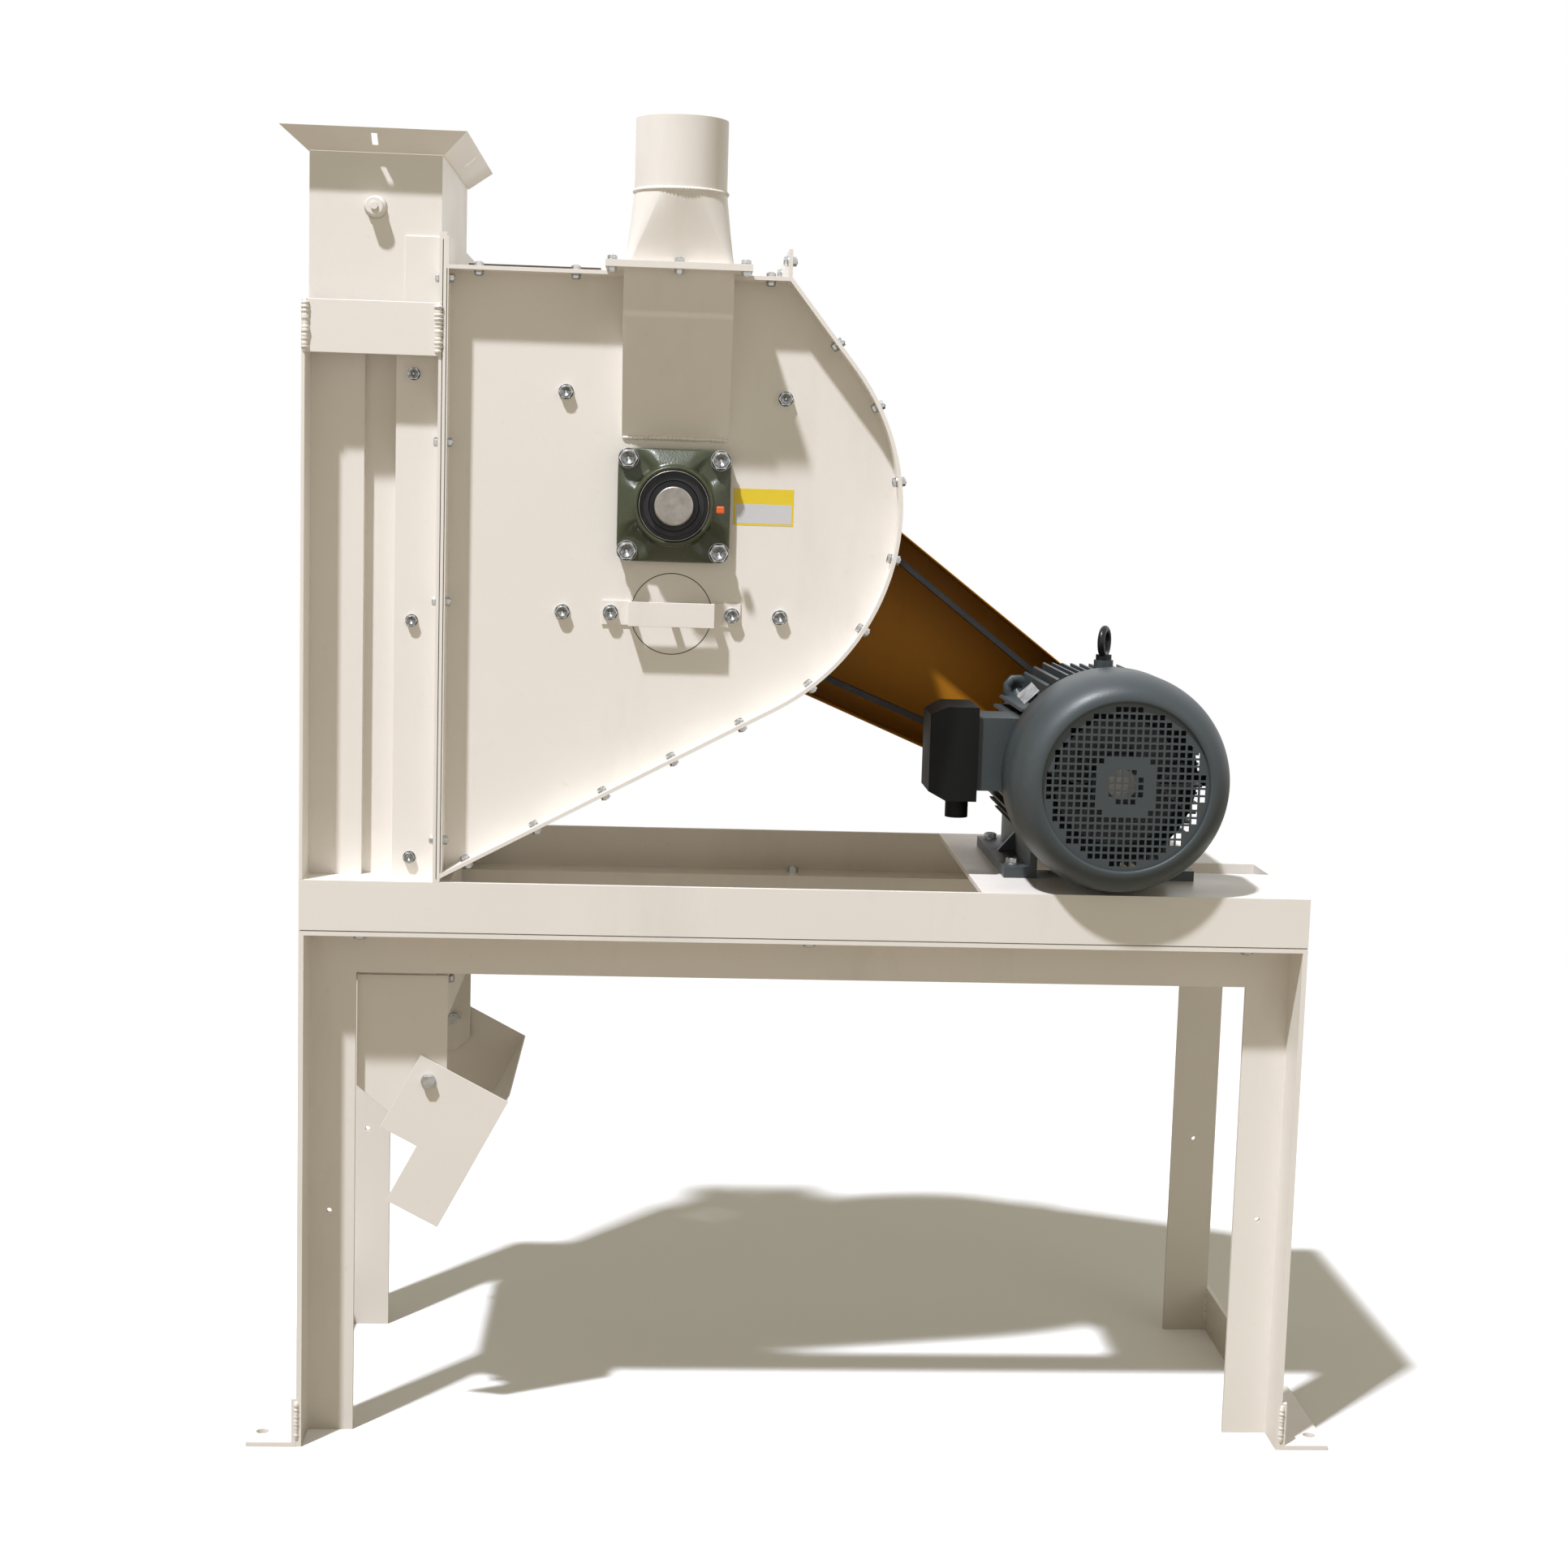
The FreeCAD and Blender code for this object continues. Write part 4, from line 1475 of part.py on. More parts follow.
window = block("window", ("box_right - 1", "wall_right + 1"),
               ("front + window_margin", "casing_back - window_margin"),
               ("window_bottom", "window_bottom + window_height"))
frame_holes = frame_drills()
panel_holes = panel_drills()
rim_holes, wall_holes, lip_holes = casing_drills()
foot_holes = [drill("foot_drill_%d%d" % (i, k), "foot_bolt_radius", "foot_wall + angle_wall",
                    "motor_x + %d * foot_pitch / 2" % i, spot, "rail_top + foot_wall", "180")
              for i in (-1, 1) for k, spot in enumerate(("foot_first", "foot_second"))]
legs()
floor_rails()
stand_rails(frame_holes)
base_rails(frame_holes)
column(window, panel_holes, wall_holes)
air_box()
air_box_flare()
chute_holes = chute()
casing(window, rim_holes, wall_holes, lip_holes)
rotor()
drive()
motor_mount(foot_holes)
wire_hole = motor_frame(foot_holes)
motor_fan()
fan_cover()
motor_fittings(wire_hole)
bolts("frame_bolts", [(frame_holes, sizes.frame_bolt_radius, 2 * sizes.angle_wall)])
bolts("motor_foot_bolts", [(foot_holes, sizes.foot_bolt_radius, sizes.foot_wall + sizes.angle_wall)])
bolts("column_bolts", [
    (panel_holes, sizes.panel_bolt_radius, 2 * sizes.sheet_wall),
    (wall_holes, sizes.edge_bolt_radius, places.grip_wall),
    (chute_holes[:2], sizes.edge_bolt_radius, 2 * sizes.sheet_wall + sizes.fit),
    (chute_holes[2:], sizes.edge_bolt_radius, places.chute_grip),
])
doc.recompute()

for thing in doc.Objects:
    if "Invalid" in thing.State or "Error" in thing.State:
        raise RuntimeError("%s is %s" % (thing.Label, thing.State))
for thing in nodes:
    if thing.Shape.isNull() or not thing.Shape.isValid():
        raise RuntimeError("%s has no valid shape" % thing.Label)
os.makedirs("parts", exist_ok=True)
for thing in nodes:
    thing.Shape.exportStep("parts/%s.step" % thing.Label)
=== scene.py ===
from math import cos, pi, radians, sin

import bpy
import numpy as np
from mathutils import Matrix, Vector


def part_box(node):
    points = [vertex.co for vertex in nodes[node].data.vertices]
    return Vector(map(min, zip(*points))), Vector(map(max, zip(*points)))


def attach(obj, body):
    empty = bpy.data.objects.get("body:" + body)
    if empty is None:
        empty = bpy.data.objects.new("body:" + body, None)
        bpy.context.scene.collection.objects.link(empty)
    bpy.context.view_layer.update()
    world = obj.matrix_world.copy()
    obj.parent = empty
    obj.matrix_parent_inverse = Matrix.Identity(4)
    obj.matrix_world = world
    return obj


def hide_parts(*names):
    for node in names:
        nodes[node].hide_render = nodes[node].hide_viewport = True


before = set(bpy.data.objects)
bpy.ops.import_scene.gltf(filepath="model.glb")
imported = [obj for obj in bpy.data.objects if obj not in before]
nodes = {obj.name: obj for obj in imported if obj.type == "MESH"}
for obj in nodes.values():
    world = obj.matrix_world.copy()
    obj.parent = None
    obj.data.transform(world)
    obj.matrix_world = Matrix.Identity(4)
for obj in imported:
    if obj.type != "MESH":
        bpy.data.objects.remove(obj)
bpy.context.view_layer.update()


scene = bpy.context.scene
random = np.random.default_rng(7)

# The stand and the base frame: angle iron, cut square, welded at the corners and sprayed with a
# semi-gloss cream paint. The paint has a faint orange peel, a little dust and soft run marks, and
# the cut edges are slightly rounded.


class Wire:
    """A shader socket on which arithmetic works: every operator adds its Math node."""

    def __init__(self, finish, socket):
        self.finish, self.socket = finish, socket

    def maths(self, operation, first, second):
        return self.finish.add("ShaderNodeMath", {"operation": operation}, {0: first, 1: second})

    def __add__(self, other):
        return self.maths("ADD", self, other)

    def __mul__(self, other):
        return self.maths("MULTIPLY", self, other)

    __radd__, __rmul__ = __add__, __mul__


class Finish:
    """A material whose nodes are added one by one; its shader is a Principled BSDF."""

    def __init__(self, name):
        self.material = bpy.data.materials.new(name)
        self.material.use_nodes = True
        self.tree = self.material.node_tree
        self.shader = self.tree.nodes["Principled BSDF"]

    def add(self, kind, settings=None, inputs=None, output=0):
        """A node of a kind, its settings first and then the values or links of its sockets."""
        made = self.tree.nodes.new(kind)
        for key, value in (settings or {}).items():
            setattr(made, key, value)
        for key, value in (inputs or {}).items():
            self.join(made.inputs[key], value)
        return Wire(self, made.outputs[output])

    def join(self, socket, value):
        if isinstance(value, Wire):
            self.tree.links.new(value.socket, socket)
        elif isinstance(value, tuple) and len(value) == 3 and socket.type == "RGBA":
            socket.default_value = (*value, 1)
        else:
            socket.default_value = value

    def set(self, **inputs):
        """Values or links of the shader's own sockets, with _ for a space in their names."""
        for key, value in inputs.items():
            self.join(self.shader.inputs[key.replace("_", " ")], value)

    def noise(self, scale, detail=3.0, roughness=0.5, stretch=(1, 1, 1)):
        """Noise on Object coordinates, from 0 to 1, squeezed along the axes by stretch."""
        place = self.add("ShaderNodeTexCoord", output="Object")
        place = self.add("ShaderNodeMapping", {}, {"Vector": place, "Scale": stretch})
        return self.add("ShaderNodeTexNoise", {}, {"Vector": place, "Scale": scale, "Detail": detail,
                                                   "Roughness": roughness})

    def range(self, value, low, high, start=0.0, end=1.0):
        """The value between low and high, stretched to start and end and held there."""
        return self.add("ShaderNodeMapRange", {}, {"Value": value, "From Min": low, "From Max": high,
                                                   "To Min": start, "To Max": end})

    def mix(self, mask, first, second):
        """The first colour where the mask is 0 and the second where it is 1."""
        made = self.tree.nodes.new("ShaderNodeMix")
        made.data_type = "RGBA"
        self.join(made.inputs["Factor"], mask)
        self.join(made.inputs[6], first)
        self.join(made.inputs[7], second)
        return Wire(self, made.outputs[2])

    def bump(self, height, depth, strength=1.0):
        self.set(Normal=self.add("ShaderNodeBump", {}, {"Strength": strength, "Distance": depth,
                                                        "Height": height}))


def paint(name, colour, dirt, gloss=0.34, peel=0.00012, grime=0.22, shine=0.5):
    """Sprayed paint: colour with soft clouds, dirt in streaks, orange peel as fine bumps.

    gloss is its middle roughness, peel the depth of the bumps in metres, grime the share of dirt
    and shine the strength of its reflection.
    """
    finish = Finish(name)
    clouds = finish.noise(2.3, 4)
    light = finish.mix(finish.range(clouds, 0.35, 0.7), tuple(0.965 * c for c in colour), colour)
    streaks = finish.noise(5.0, 6, 0.65, (1, 1, 0.25))
    specks = finish.noise(46.0, 2, 0.6)
    marks = finish.range(streaks, 0.56, 0.80) * grime + finish.range(specks, 0.70, 0.80) * (0.5 * grime)
    finish.set(Base_Color=finish.mix(marks, light, dirt))
    wear = finish.range(finish.noise(9.0, 5), 0.3, 0.7, gloss - 0.05, gloss + 0.09)
    finish.set(Roughness=wear + marks * 0.3, Specular_IOR_Level=shine)
    finish.bump(finish.noise(420.0, 1, 0.4), peel, 0.6)
    return finish.material


CREAM = (0.825, 0.782, 0.728)
cream = paint("cream_paint", CREAM, (0.46, 0.42, 0.34))
MERGE, FLAT, SHARP = 0.00002, radians(0.6), radians(38)


def dress(material, *names, edge=0.0009, segments=2):
    """The material on these CAD nodes, and their sharp edges rounded by edge metres.

    Points nearer than MERGE become one, faces that meet under the angle FLAT become one, and an
    edge over the angle SHARP is rounded.
    """
    for name in names:
        thing = nodes[name]
        thing.data.materials.clear()
        thing.data.materials.append(material)
        if not edge:
            continue
        merge = thing.modifiers.new("merge", "WELD")
        merge.merge_threshold = MERGE
        flats = thing.modifiers.new("flats", "DECIMATE")
        flats.decimate_type = "DISSOLVE"
        flats.angle_limit = FLAT
        round_off = thing.modifiers.new("edges", "BEVEL")
        round_off.width = edge
        round_off.segments = segments
        round_off.limit_method = "ANGLE"
        round_off.angle_limit = SHARP
        round_off.use_clamp_overlap = True
        round_off.loop_slide = False
        round_off.harden_normals = True
        even = thing.modifiers.new("even", "WEIGHTED_NORMAL")
        even.keep_sharp = False
        thing.data.polygons.foreach_set("use_smooth", [True] * len(thing.data.polygons))


STAND = ["leg_front_left", "leg_front_right", "leg_back_left", "leg_back_right", "floor_rails",
         "stand_long_rails", "stand_side_rails", "base_long_rails", "base_side_rails"]
dress(cream, *STAND, edge=0.0016)

# The weld beads of the stand and the column: short runs of steel along the corners, with the small
# ripples of a hand weld, under the same paint as the parts that they join.


def shape(name, points, faces, material, body):
    """A smooth object with this mesh, riding on a body; None leaves it free until it is joined."""
    mesh = bpy.data.meshes.new(name)
    mesh.from_pydata(points, [], faces)
    mesh.polygons.foreach_set("use_smooth", [True] * len(mesh.polygons))
    mesh.materials.append(material)
    thing = bpy.data.objects.new(name, mesh)
    scene.collection.objects.link(thing)
    if body:
        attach(thing, body)
    return thing


def skin(name, grid, material, body="machine", closed=False):
    """A mesh over a grid of points whose rows are rings, with its faces turned outward.

    Closed joins the last ring to the first, and otherwise the two end rings are capped. The sign of
    the sum of a . (b x c) over the faces, six times the volume, tells whether they face outward.
    """
    rows, count = grid.shape[:2]
    points = grid.reshape(-1, 3)
    spans = rows if closed else rows - 1
    i, j = np.meshgrid(np.arange(spans), np.arange(count), indexing="ij")
    after, beside = (i + 1) % rows, (j + 1) % count
    quads = np.stack([i * count + j, i * count + beside, after * count + beside, after * count + j], -1)
    quads = quads.reshape(-1, 4)
    faces = [tuple(face) for face in quads.tolist()]
    corners = points[quads] - points.mean(0)
    volume = np.einsum("ij,ij->i", corners[:, 0], np.cross(corners[:, 1], corners[:, 2])).sum()
    volume += np.einsum("ij,ij->i", corners[:, 0], np.cross(corners[:, 2], corners[:, 3])).sum()
    if not closed:
        faces += [tuple(range(count))[::-1], tuple(range((rows - 1) * count, rows * count))]
        for ring, sign in ((grid[0] - points.mean(0), -1), (grid[-1] - points.mean(0), 1)):
            fan = np.cross(ring[1:-1], ring[2:])
            volume += sign * np.einsum("j,ij->i", ring[0], fan).sum()
    if volume < 0:
        faces = [face[::-1] for face in faces]
    return shape(name, points.tolist(), faces, material, body)


def joined(name, pieces, body="machine"):
    """Several pieces made one object."""
    vertices, faces, start = [], [], 0
    material = pieces[0].data.materials[0]
    for piece in pieces:
        vertices += [tuple(vertex.co) for vertex in piece.data.vertices]
        faces += [tuple(start + k for k in face.vertices) for face in piece.data.polygons]
        start += len(piece.data.vertices)
        old = piece.data
        bpy.data.objects.remove(piece)
        bpy.data.meshes.remove(old)
    return shape(name, vertices, faces, material, body)


def bead(start, end, radius=0.0035, pitch=0.006):
    """A ripple tube from start to end that wanders a little about its straight line.

    At the length s its radius is radius * (1 + 0.2 sin(2 pi s / pitch)), give or take a tenth, and
    it falls towards both ends.
    """
    start, end = np.array(start, float), np.array(end, float)
    length = np.linalg.norm(end - start)
    count = max(6, int(length / pitch * 3))
    t = np.linspace(0, 1, count)
    along = (end - start) / length
    side = np.cross(along, (0.31, 0.52, 0.79))
    side /= np.linalg.norm(side)
    other = np.cross(along, side)
    wander = np.cumsum(random.normal(0, 0.06, (count, 2)), 0)
    wander -= t[:, None] * wander[-1]
    width = radius * (1 + 0.2 * np.sin(2 * pi * t * length / pitch) + random.normal(0, 0.10, count))
    width *= np.clip(np.minimum(t, 1 - t) * length / radius, 0.25, 1) ** 0.5
    turn = np.linspace(0, 2 * pi, 9)[:-1]
    drift = wander[:, :1] * side + wander[:, 1:] * other
    middle = start + t[:, None] * (end - start) + radius * 0.3 * drift
    ring = np.cos(turn)[None, :, None] * side + np.sin(turn)[None, :, None] * other
    return skin("bead", middle[:, None, :] + width[:, None, None] * ring, cream, None)


def ring_bead(centre, radius, size=0.0028, pitch=0.005):
    """A ripple tube bent into a ring about Z, of uneven thickness w near size.

    Its points lie radius + w cos(turn) out from the centre and w sin(turn) up.
    """
    count = int(2 * pi * radius / pitch * 3)
    t = np.linspace(0, 2 * pi, count, endpoint=False)
    width = size * (1 + 0.18 * np.sin(np.arange(count) * 2 * pi / 3) + random.normal(0, 0.06, count))
    turn = np.linspace(0, 2 * pi, 9)[:-1]
    out = radius + width[:, None] * np.cos(turn)
    up = width[:, None] * np.sin(turn)
    grid = np.stack([centre[0] + out * np.cos(t)[:, None], centre[1] + out * np.sin(t)[:, None],
                     centre[2] + up], -1)
    return skin("ring_bead", grid, cream, None, closed=True)


BAR_BEAD, BAR_FRONT, BAR_BACK = 0.0058, 0.0005, 0.0065
PLATE_BEAD, PLATE_START, PLATE_END, WALL_SHEET = 0.0032, 0.004, 0.052, 0.006
LEG_BEAD, LEG_FRONT, LEG_BACK, LEG_START, LEG_STOP = 0.0038, 0.001, 0.0055, 0.012, 0.004
bars_low, bars_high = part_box("column_crossbars")
plate_low, plate_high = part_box("column_left_plate")
beads = []
for x in (bars_low.x, bars_high.x):
    for y in (bars_low.y + BAR_FRONT, bars_high.y - BAR_BACK):
        beads.append(bead((x, y, bars_low.z), (x, y, bars_high.z), BAR_BEAD))
wall_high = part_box("column_right_plate")[1]
floor_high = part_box("column_floor_plate")[1]
for x in (plate_high.x, wall_high.x - WALL_SHEET):
    beads.append(bead((x, plate_low.y + PLATE_START, floor_high.z),
                      (x, plate_low.y + PLATE_END, floor_high.z), PLATE_BEAD))
rail_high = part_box("floor_rails")[1]
for name in STAND[:4]:
    low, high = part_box(name)
    edge = low.x if low.x < 0 else high.x
    for y in (low.y + LEG_FRONT, high.y - LEG_BACK):
        beads.append(bead((edge, y, LEG_START), (edge, y, rail_high.z - LEG_STOP), LEG_BEAD))
joined("weld_beads", beads)

# The air column: two thick side plates tied by crossbars, with a folded panel in front and a flat
# one behind, all of painted sheet. The air box on it has a doubler plate where it meets the casing,
# and a flared mouth that takes the suction duct.

COLUMN = ["column_floor_plate", "column_left_plate", "column_right_plate", "column_crossbars",
          "column_front_panel", "column_back_panel", "chute_neck", "casing_wall_plate"]
dress(cream, *COLUMN)
dress(cream, "air_box", "air_box_flare", "discharge_chute", "spout", edge=0.0006)


def slab(name, low, high, material, body="machine", edge=0.0006):
    """A thin box between two corners with slightly rounded edges."""
    low, high = Vector(low), Vector(high)
    corners = [(x, y, z) for z in (low.z, high.z) for y in (low.y, high.y) for x in (low.x, high.x)]
    faces = [(0, 2, 3, 1), (4, 5, 7, 6), (0, 1, 5, 4), (2, 6, 7, 3), (0, 4, 6, 2), (1, 3, 7, 5)]
    mesh = bpy.data.meshes.new(name)
    mesh.from_pydata(corners, [], faces)
    mesh.materials.append(material)
    thing = bpy.data.objects.new(name, mesh)
    scene.collection.objects.link(thing)
    if edge:
        round_off = thing.modifiers.new("edges", "BEVEL")
        round_off.width = edge
        round_off.segments = 2
    if body:
        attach(thing, body)
    return thing


def turned(name, profile, centre, material, body="machine", around=96):
    """A closed profile turned about an axis along Y through the centre.

    Its radius r and depth d go to (r cos(turn), d, r sin(turn)) from the centre.
    """
    turn = np.linspace(0, 2 * pi, around, endpoint=False)
    profile = np.array(profile, float)
    radius, depth = profile[:, :1], profile[:, 1:]
    grid = np.stack([centre[0] + radius * np.cos(turn), centre[1] + depth + 0 * turn,
                     centre[2] + radius * np.sin(turn)], -1)
    return skin(name, grid, material, body, closed=True)


BOX_SETBACK = 0.022
DOUBLER_WIDTH, DOUBLER_SHEET, DOUBLER_TOP = 0.055, 0.003, 1.911
box_low, box_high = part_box("air_box")
box_front = box_low.y + BOX_SETBACK
slab("box_doubler", (box_high.x - DOUBLER_WIDTH, box_front - DOUBLER_SHEET, bars_high.z),
     (box_high.x, box_front, DOUBLER_TOP), cream)
dress(cream, "casing_front_plate", "casing_back_plate", "casing_top_plate", "casing_wrapper", edge=0.0007)

# The damper: a flap on a spindle whose ends show in the bosses of the air box. A thick collar is
# welded round the front boss, and all of it is painted over.

steel = Finish("turned_steel")
grain = steel.noise(60.0, 3, 0.6, (1, 8, 1))
steel.set(Base_Color=steel.mix(steel.range(grain, 0.3, 0.7), (0.30, 0.27, 0.24), (0.42, 0.39, 0.35)),
          Metallic=1.0, Roughness=steel.range(grain, 0.3, 0.7, 0.30, 0.46))
steel = steel.material
dress(steel, "screen_cage", "bearing_balls", "motor_shaft", edge=0)

dress(cream, "damper_flap", edge=0.0006)
flap_low, flap_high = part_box("damper_flap")
flap_x = (flap_low.x + flap_high.x) / 2
flap_z = (flap_low.z + flap_high.z) / 2
collar = [(0.0100, -0.0005), (0.0100, -0.0075), (0.0125, -0.0085), (0.0148, -0.0070), (0.0152, -0.0020),
          (0.0175, -0.0003)]
turned("spindle_collar", collar, (flap_x, box_front, flap_z), cream)

# The casing: dished end plates between the curved sheets, with a hatch in the front plate. A hat
# shaped strap holds the hatch. The feed chute in front of it has a bead along its lower edge.

dress(cream, "hatch_disc", "hatch_strap", edge=0.0006)
PLATE_FACE = -0.275
# A near-black material that is painted shade, for thin pieces put into gaps and joints where there is
# only shade; one ring of it lies in the gap round the hatch.
shade = Finish("painted_gap_shade")
shade.set(Base_Color=shade.mix(shade.noise(40.0), (0.05, 0.04, 0.03), (0.10, 0.085, 0.06)), Roughness=0.9)
shade = shade.material
hatch_low, hatch_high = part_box("hatch_disc")
hatch_radius = (hatch_high.x - hatch_low.x) / 2
inner, outer = hatch_radius - 0.0003, hatch_radius + 0.0010
groove = [(inner, 0.001), (inner, -0.0002), (outer, -0.0002), (outer, 0.001)]
hatch_middle = ((hatch_low.x + hatch_high.x) / 2, PLATE_FACE, (hatch_low.z + hatch_high.z) / 2)
turned("hatch_gap_shade", groove, hatch_middle, shade, around=128)
dress(cream, "feed_chute", "feed_transition", "feed_pipe", edge=0.0007)
chute_low, chute_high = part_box("feed_chute")
pipe_low, pipe_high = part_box("feed_pipe")
SEAM_BEAD, SEAM_INSET, SEAM_OUT = 0.0034, 0.028, 0.001
seam_start = (chute_low.x + SEAM_INSET, PLATE_FACE - SEAM_OUT, chute_low.z)
seam_end = (chute_high.x - SEAM_INSET, PLATE_FACE - SEAM_OUT, chute_low.z)
pipe_foot = ((pipe_low.x + pipe_high.x) / 2, (pipe_low.y + pipe_high.y) / 2, pipe_low.z)
pipe_radius = (pipe_high.x - pipe_low.x) / 2
joined("feed_welds", [bead(seam_start, seam_end, SEAM_BEAD), ring_bead(pipe_foot, pipe_radius)])

# The bolts: zinc plated hexagon bolts with washers and nuts, a little dulled. Each head gets a
# rounded crown in a darker zinc that is painted shade on the head's top, and a thin dark line of
# painted shade lies where its washer meets the sheet.

zinc = Finish("zinc")
patina = zinc.noise(90.0, 4, 0.6)
zinc.set(Base_Color=zinc.mix(zinc.range(patina, 0.35, 0.7), (0.50, 0.51, 0.52), (0.66, 0.66, 0.64)),
         Metallic=1.0, Roughness=zinc.range(patina, 0.3, 0.7, 0.26, 0.44))
zinc.bump(zinc.noise(700.0, 2), 0.00004)
zinc = zinc.material
# The crowns' zinc is coloured darker than the bolts' zinc as painted shade on the heads' tops, with
# random spots.
crown_shade_zinc = Finish("zinc_painted_shade")
spots = crown_shade_zinc.range(crown_shade_zinc.noise(300.0, 3), 0.35, 0.7)
crown_shade_zinc.set(Base_Color=crown_shade_zinc.mix(spots, (0.13, 0.135, 0.14), (0.36, 0.36, 0.35)), Metallic=0.9,
         Roughness=crown_shade_zinc.range(crown_shade_zinc.noise(120.0, 4), 0.3, 0.7, 0.22, 0.40))
crown_shade_zinc = crown_shade_zinc.material
BOLTS = ["spout_pivots", "casing_edge_bolts", "end_plate_bolts", "bearing_bolts", "feed_bolts",
         "frame_bolts", "motor_foot_bolts", "column_bolts"]
dress(zinc, *BOLTS, edge=0.0005, segments=1)


def loose_parts(node):
    """The points of each separate solid: the lowest label spreads along the edges until all agree."""
    mesh = nodes[node].data
    points = np.empty(3 * len(mesh.vertices))
    mesh.vertices.foreach_get("co", points)
    points, label = np.unique(points.reshape(-1, 3).round(5), axis=0, return_inverse=True)
    edges = np.empty(2 * len(mesh.edges), int)
    mesh.edges.foreach_get("vertices", edges)
    edges = label.ravel()[edges].reshape(-1, 2)
    group = np.arange(len(points))
    while (group[edges[:, 0]] != group[edges[:, 1]]).any():
        lowest = group[edges].min(1)
        np.minimum.at(group, edges[:, 0], lowest)
        np.minimum.at(group, edges[:, 1], lowest)
        group = group[group]
    return [points[group == k] for k in np.unique(group)]


def bolt_head(points):
    """The middle of a bolt's head, the way that it faces, and the bolt's radius, half its washer's."""
    middle = (points.min(0) + points.max(0)) / 2
    values, ways = np.linalg.eigh(np.cov((points - middle).T))
    long = values[2] - values[1] > values[1] - values[0]
    axis = ways[:, 2] if long else ways[:, 0]
    sides = ways[:, :2] if long else ways[:, 1:]
    across = (points - middle) @ sides
    middle = middle + sides @ ((across.min(0) + across.max(0)) / 2)
    along = (points - middle) @ axis
    away = np.linalg.norm(points - middle - along[:, None] * axis, axis=1)
    radius = away.max() / 2
    if away[along > along.max() - 1e-5].max() < 1.5 * radius:
        axis, along = -axis, -along
    return middle + along.max() * axis, axis, radius


def turned_on(name, profile, spot, axis, material, around=24):
    """A closed profile turned about an axis that starts at a spot.

    Its radius r and height h go to spot + r (cos(turn) side + sin(turn) axis x side) + h axis.
    """
    side = np.cross(axis, (0.3, 0.5, 0.8))
    side /= np.linalg.norm(side)
    turn = np.linspace(0, 2 * pi, around, endpoint=False)[:, None]
    way = np.cos(turn) * side + np.sin(turn) * np.cross(axis, side)
    grid = np.array([spot + radius * way + height * axis for radius, height in profile])
    return skin(name, grid, material, None, closed=True)


CROWN = [(0.25, -0.10), (1.50, -0.10), (1.46, 0.10), (1.36, 0.16), (1.12, 0.16), (1.02, 0.05),
         (0.25, 0.03)]
SHADE_LINE = [(1.62, -1.29), (1.62, -1.12), (1.80, -1.20), (1.93, -1.29)]
for node in BOLTS[1:]:
    heads = [bolt_head(points) for points in loose_parts(node)]
    for ending, profile, material in (("_crowns", CROWN, crown_shade_zinc), ("_shade", SHADE_LINE, shade)):
        joined(node + ending, [
            turned_on("ring", [(r * radius, h * radius) for r, h in profile], spot, axis, material)
            for spot, axis, radius in heads])

# The bearings: square cast housings in olive machine paint, a black sealed insert with a collar, and
# the end of the shaft, turned bare and slightly brown.

olive = paint("olive_paint", (0.050, 0.058, 0.028), (0.10, 0.09, 0.06), 0.30, 0.0004, 0.3)
blacked = Finish("blackened_steel")
blacked.set(Base_Color=blacked.mix(blacked.noise(40.0), (0.012, 0.012, 0.014), (0.03, 0.03, 0.032)),
            Metallic=0.6, Roughness=blacked.range(blacked.noise(30.0, 4), 0.3, 0.7, 0.28, 0.44))
blacked = blacked.material
dress(olive, "bearing_housings", edge=0)
dress(blacked, "bearing_inner_rings", "bearing_outer_rings", "eye_bolt", edge=0)
dress(steel, "rotor_shaft", edge=0.0024)


def squircle(turn, half, corner):
    """A square with round corners: |x / half|^p + |y / half|^p = 1 with p = 2 + 10 (1 - corner)."""
    c, s = np.cos(turn), np.sin(turn)
    power = 2 + 10 * (1 - corner)
    reach = (np.abs(c) ** power + np.abs(s) ** power) ** (-1 / power)
    return half * reach * c, half * reach * s


def loft(name, sections, around, place, material):
    """Rings along a profile: each section gives its half size, roundness, depth and swell.

    The depth at a turn is depth + swell * web, where web = 2.6 |cos(2 turn)| - 0.9, held between
    0 and 1: the swell lies at the middles of the four sides and not at the corners.
    """
    turn = np.linspace(0, 2 * pi, around, endpoint=False)
    web = np.clip(2.6 * np.abs(np.cos(2 * turn)) - 0.9, 0, 1)
    rings = []
    for half, corner, depth, swell in sections:
        across, up = squircle(turn, half, corner)
        rings.append(place(across, up, depth + swell * web))
    return skin(name, np.array(rings), material, None, closed=True)


housing_low, housing_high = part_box("bearing_housings")
axis_x = (housing_low.x + housing_high.x) / 2
axis_z = (housing_low.z + housing_high.z) / 2
half_square = (housing_high.x - housing_low.x) / 2
HOUSING = [(1.000, 0.15, 0.0, 0.0), (1.000, 0.15, 0.0135, 0.0), (0.990, 0.18, 0.0160, -0.0005),
           (0.965, 0.24, 0.0163, 0.0010), (0.820, 0.62, 0.0163, 0.0090), (0.740, 0.95, 0.0165, 0.0135),
           (0.722, 1.0, 0.0200, 0.0110), (0.712, 1.0, 0.0330, 0.0), (0.700, 1.0, 0.0450, 0.0),
           (0.690, 1.0, 0.0475, 0.0), (0.675, 1.0, 0.048, 0.0), (0.640, 1.0, 0.0475, 0.0),
           (0.632, 1.0, 0.046, 0.0), (0.629, 1.0, 0.002, 0.0), (0.629, 1.0, 0.0, 0.0)]
BACK_FACE = 0.135
sections = [(size * half_square, *rest) for size, *rest in HOUSING]
castings = []
for face, side in ((PLATE_FACE, -1), (BACK_FACE, 1)):
    castings.append(loft("casting", sections, 160, lambda across, up, depth: np.stack(
        [axis_x + across, face + side * depth, axis_z + up], -1), olive))
housing = joined("bearing_castings", castings)
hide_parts("bearing_housings")

# The bearings' seals: lips of black rubber inside a narrow rim of bare steel. The belts are of the
# same rubber.

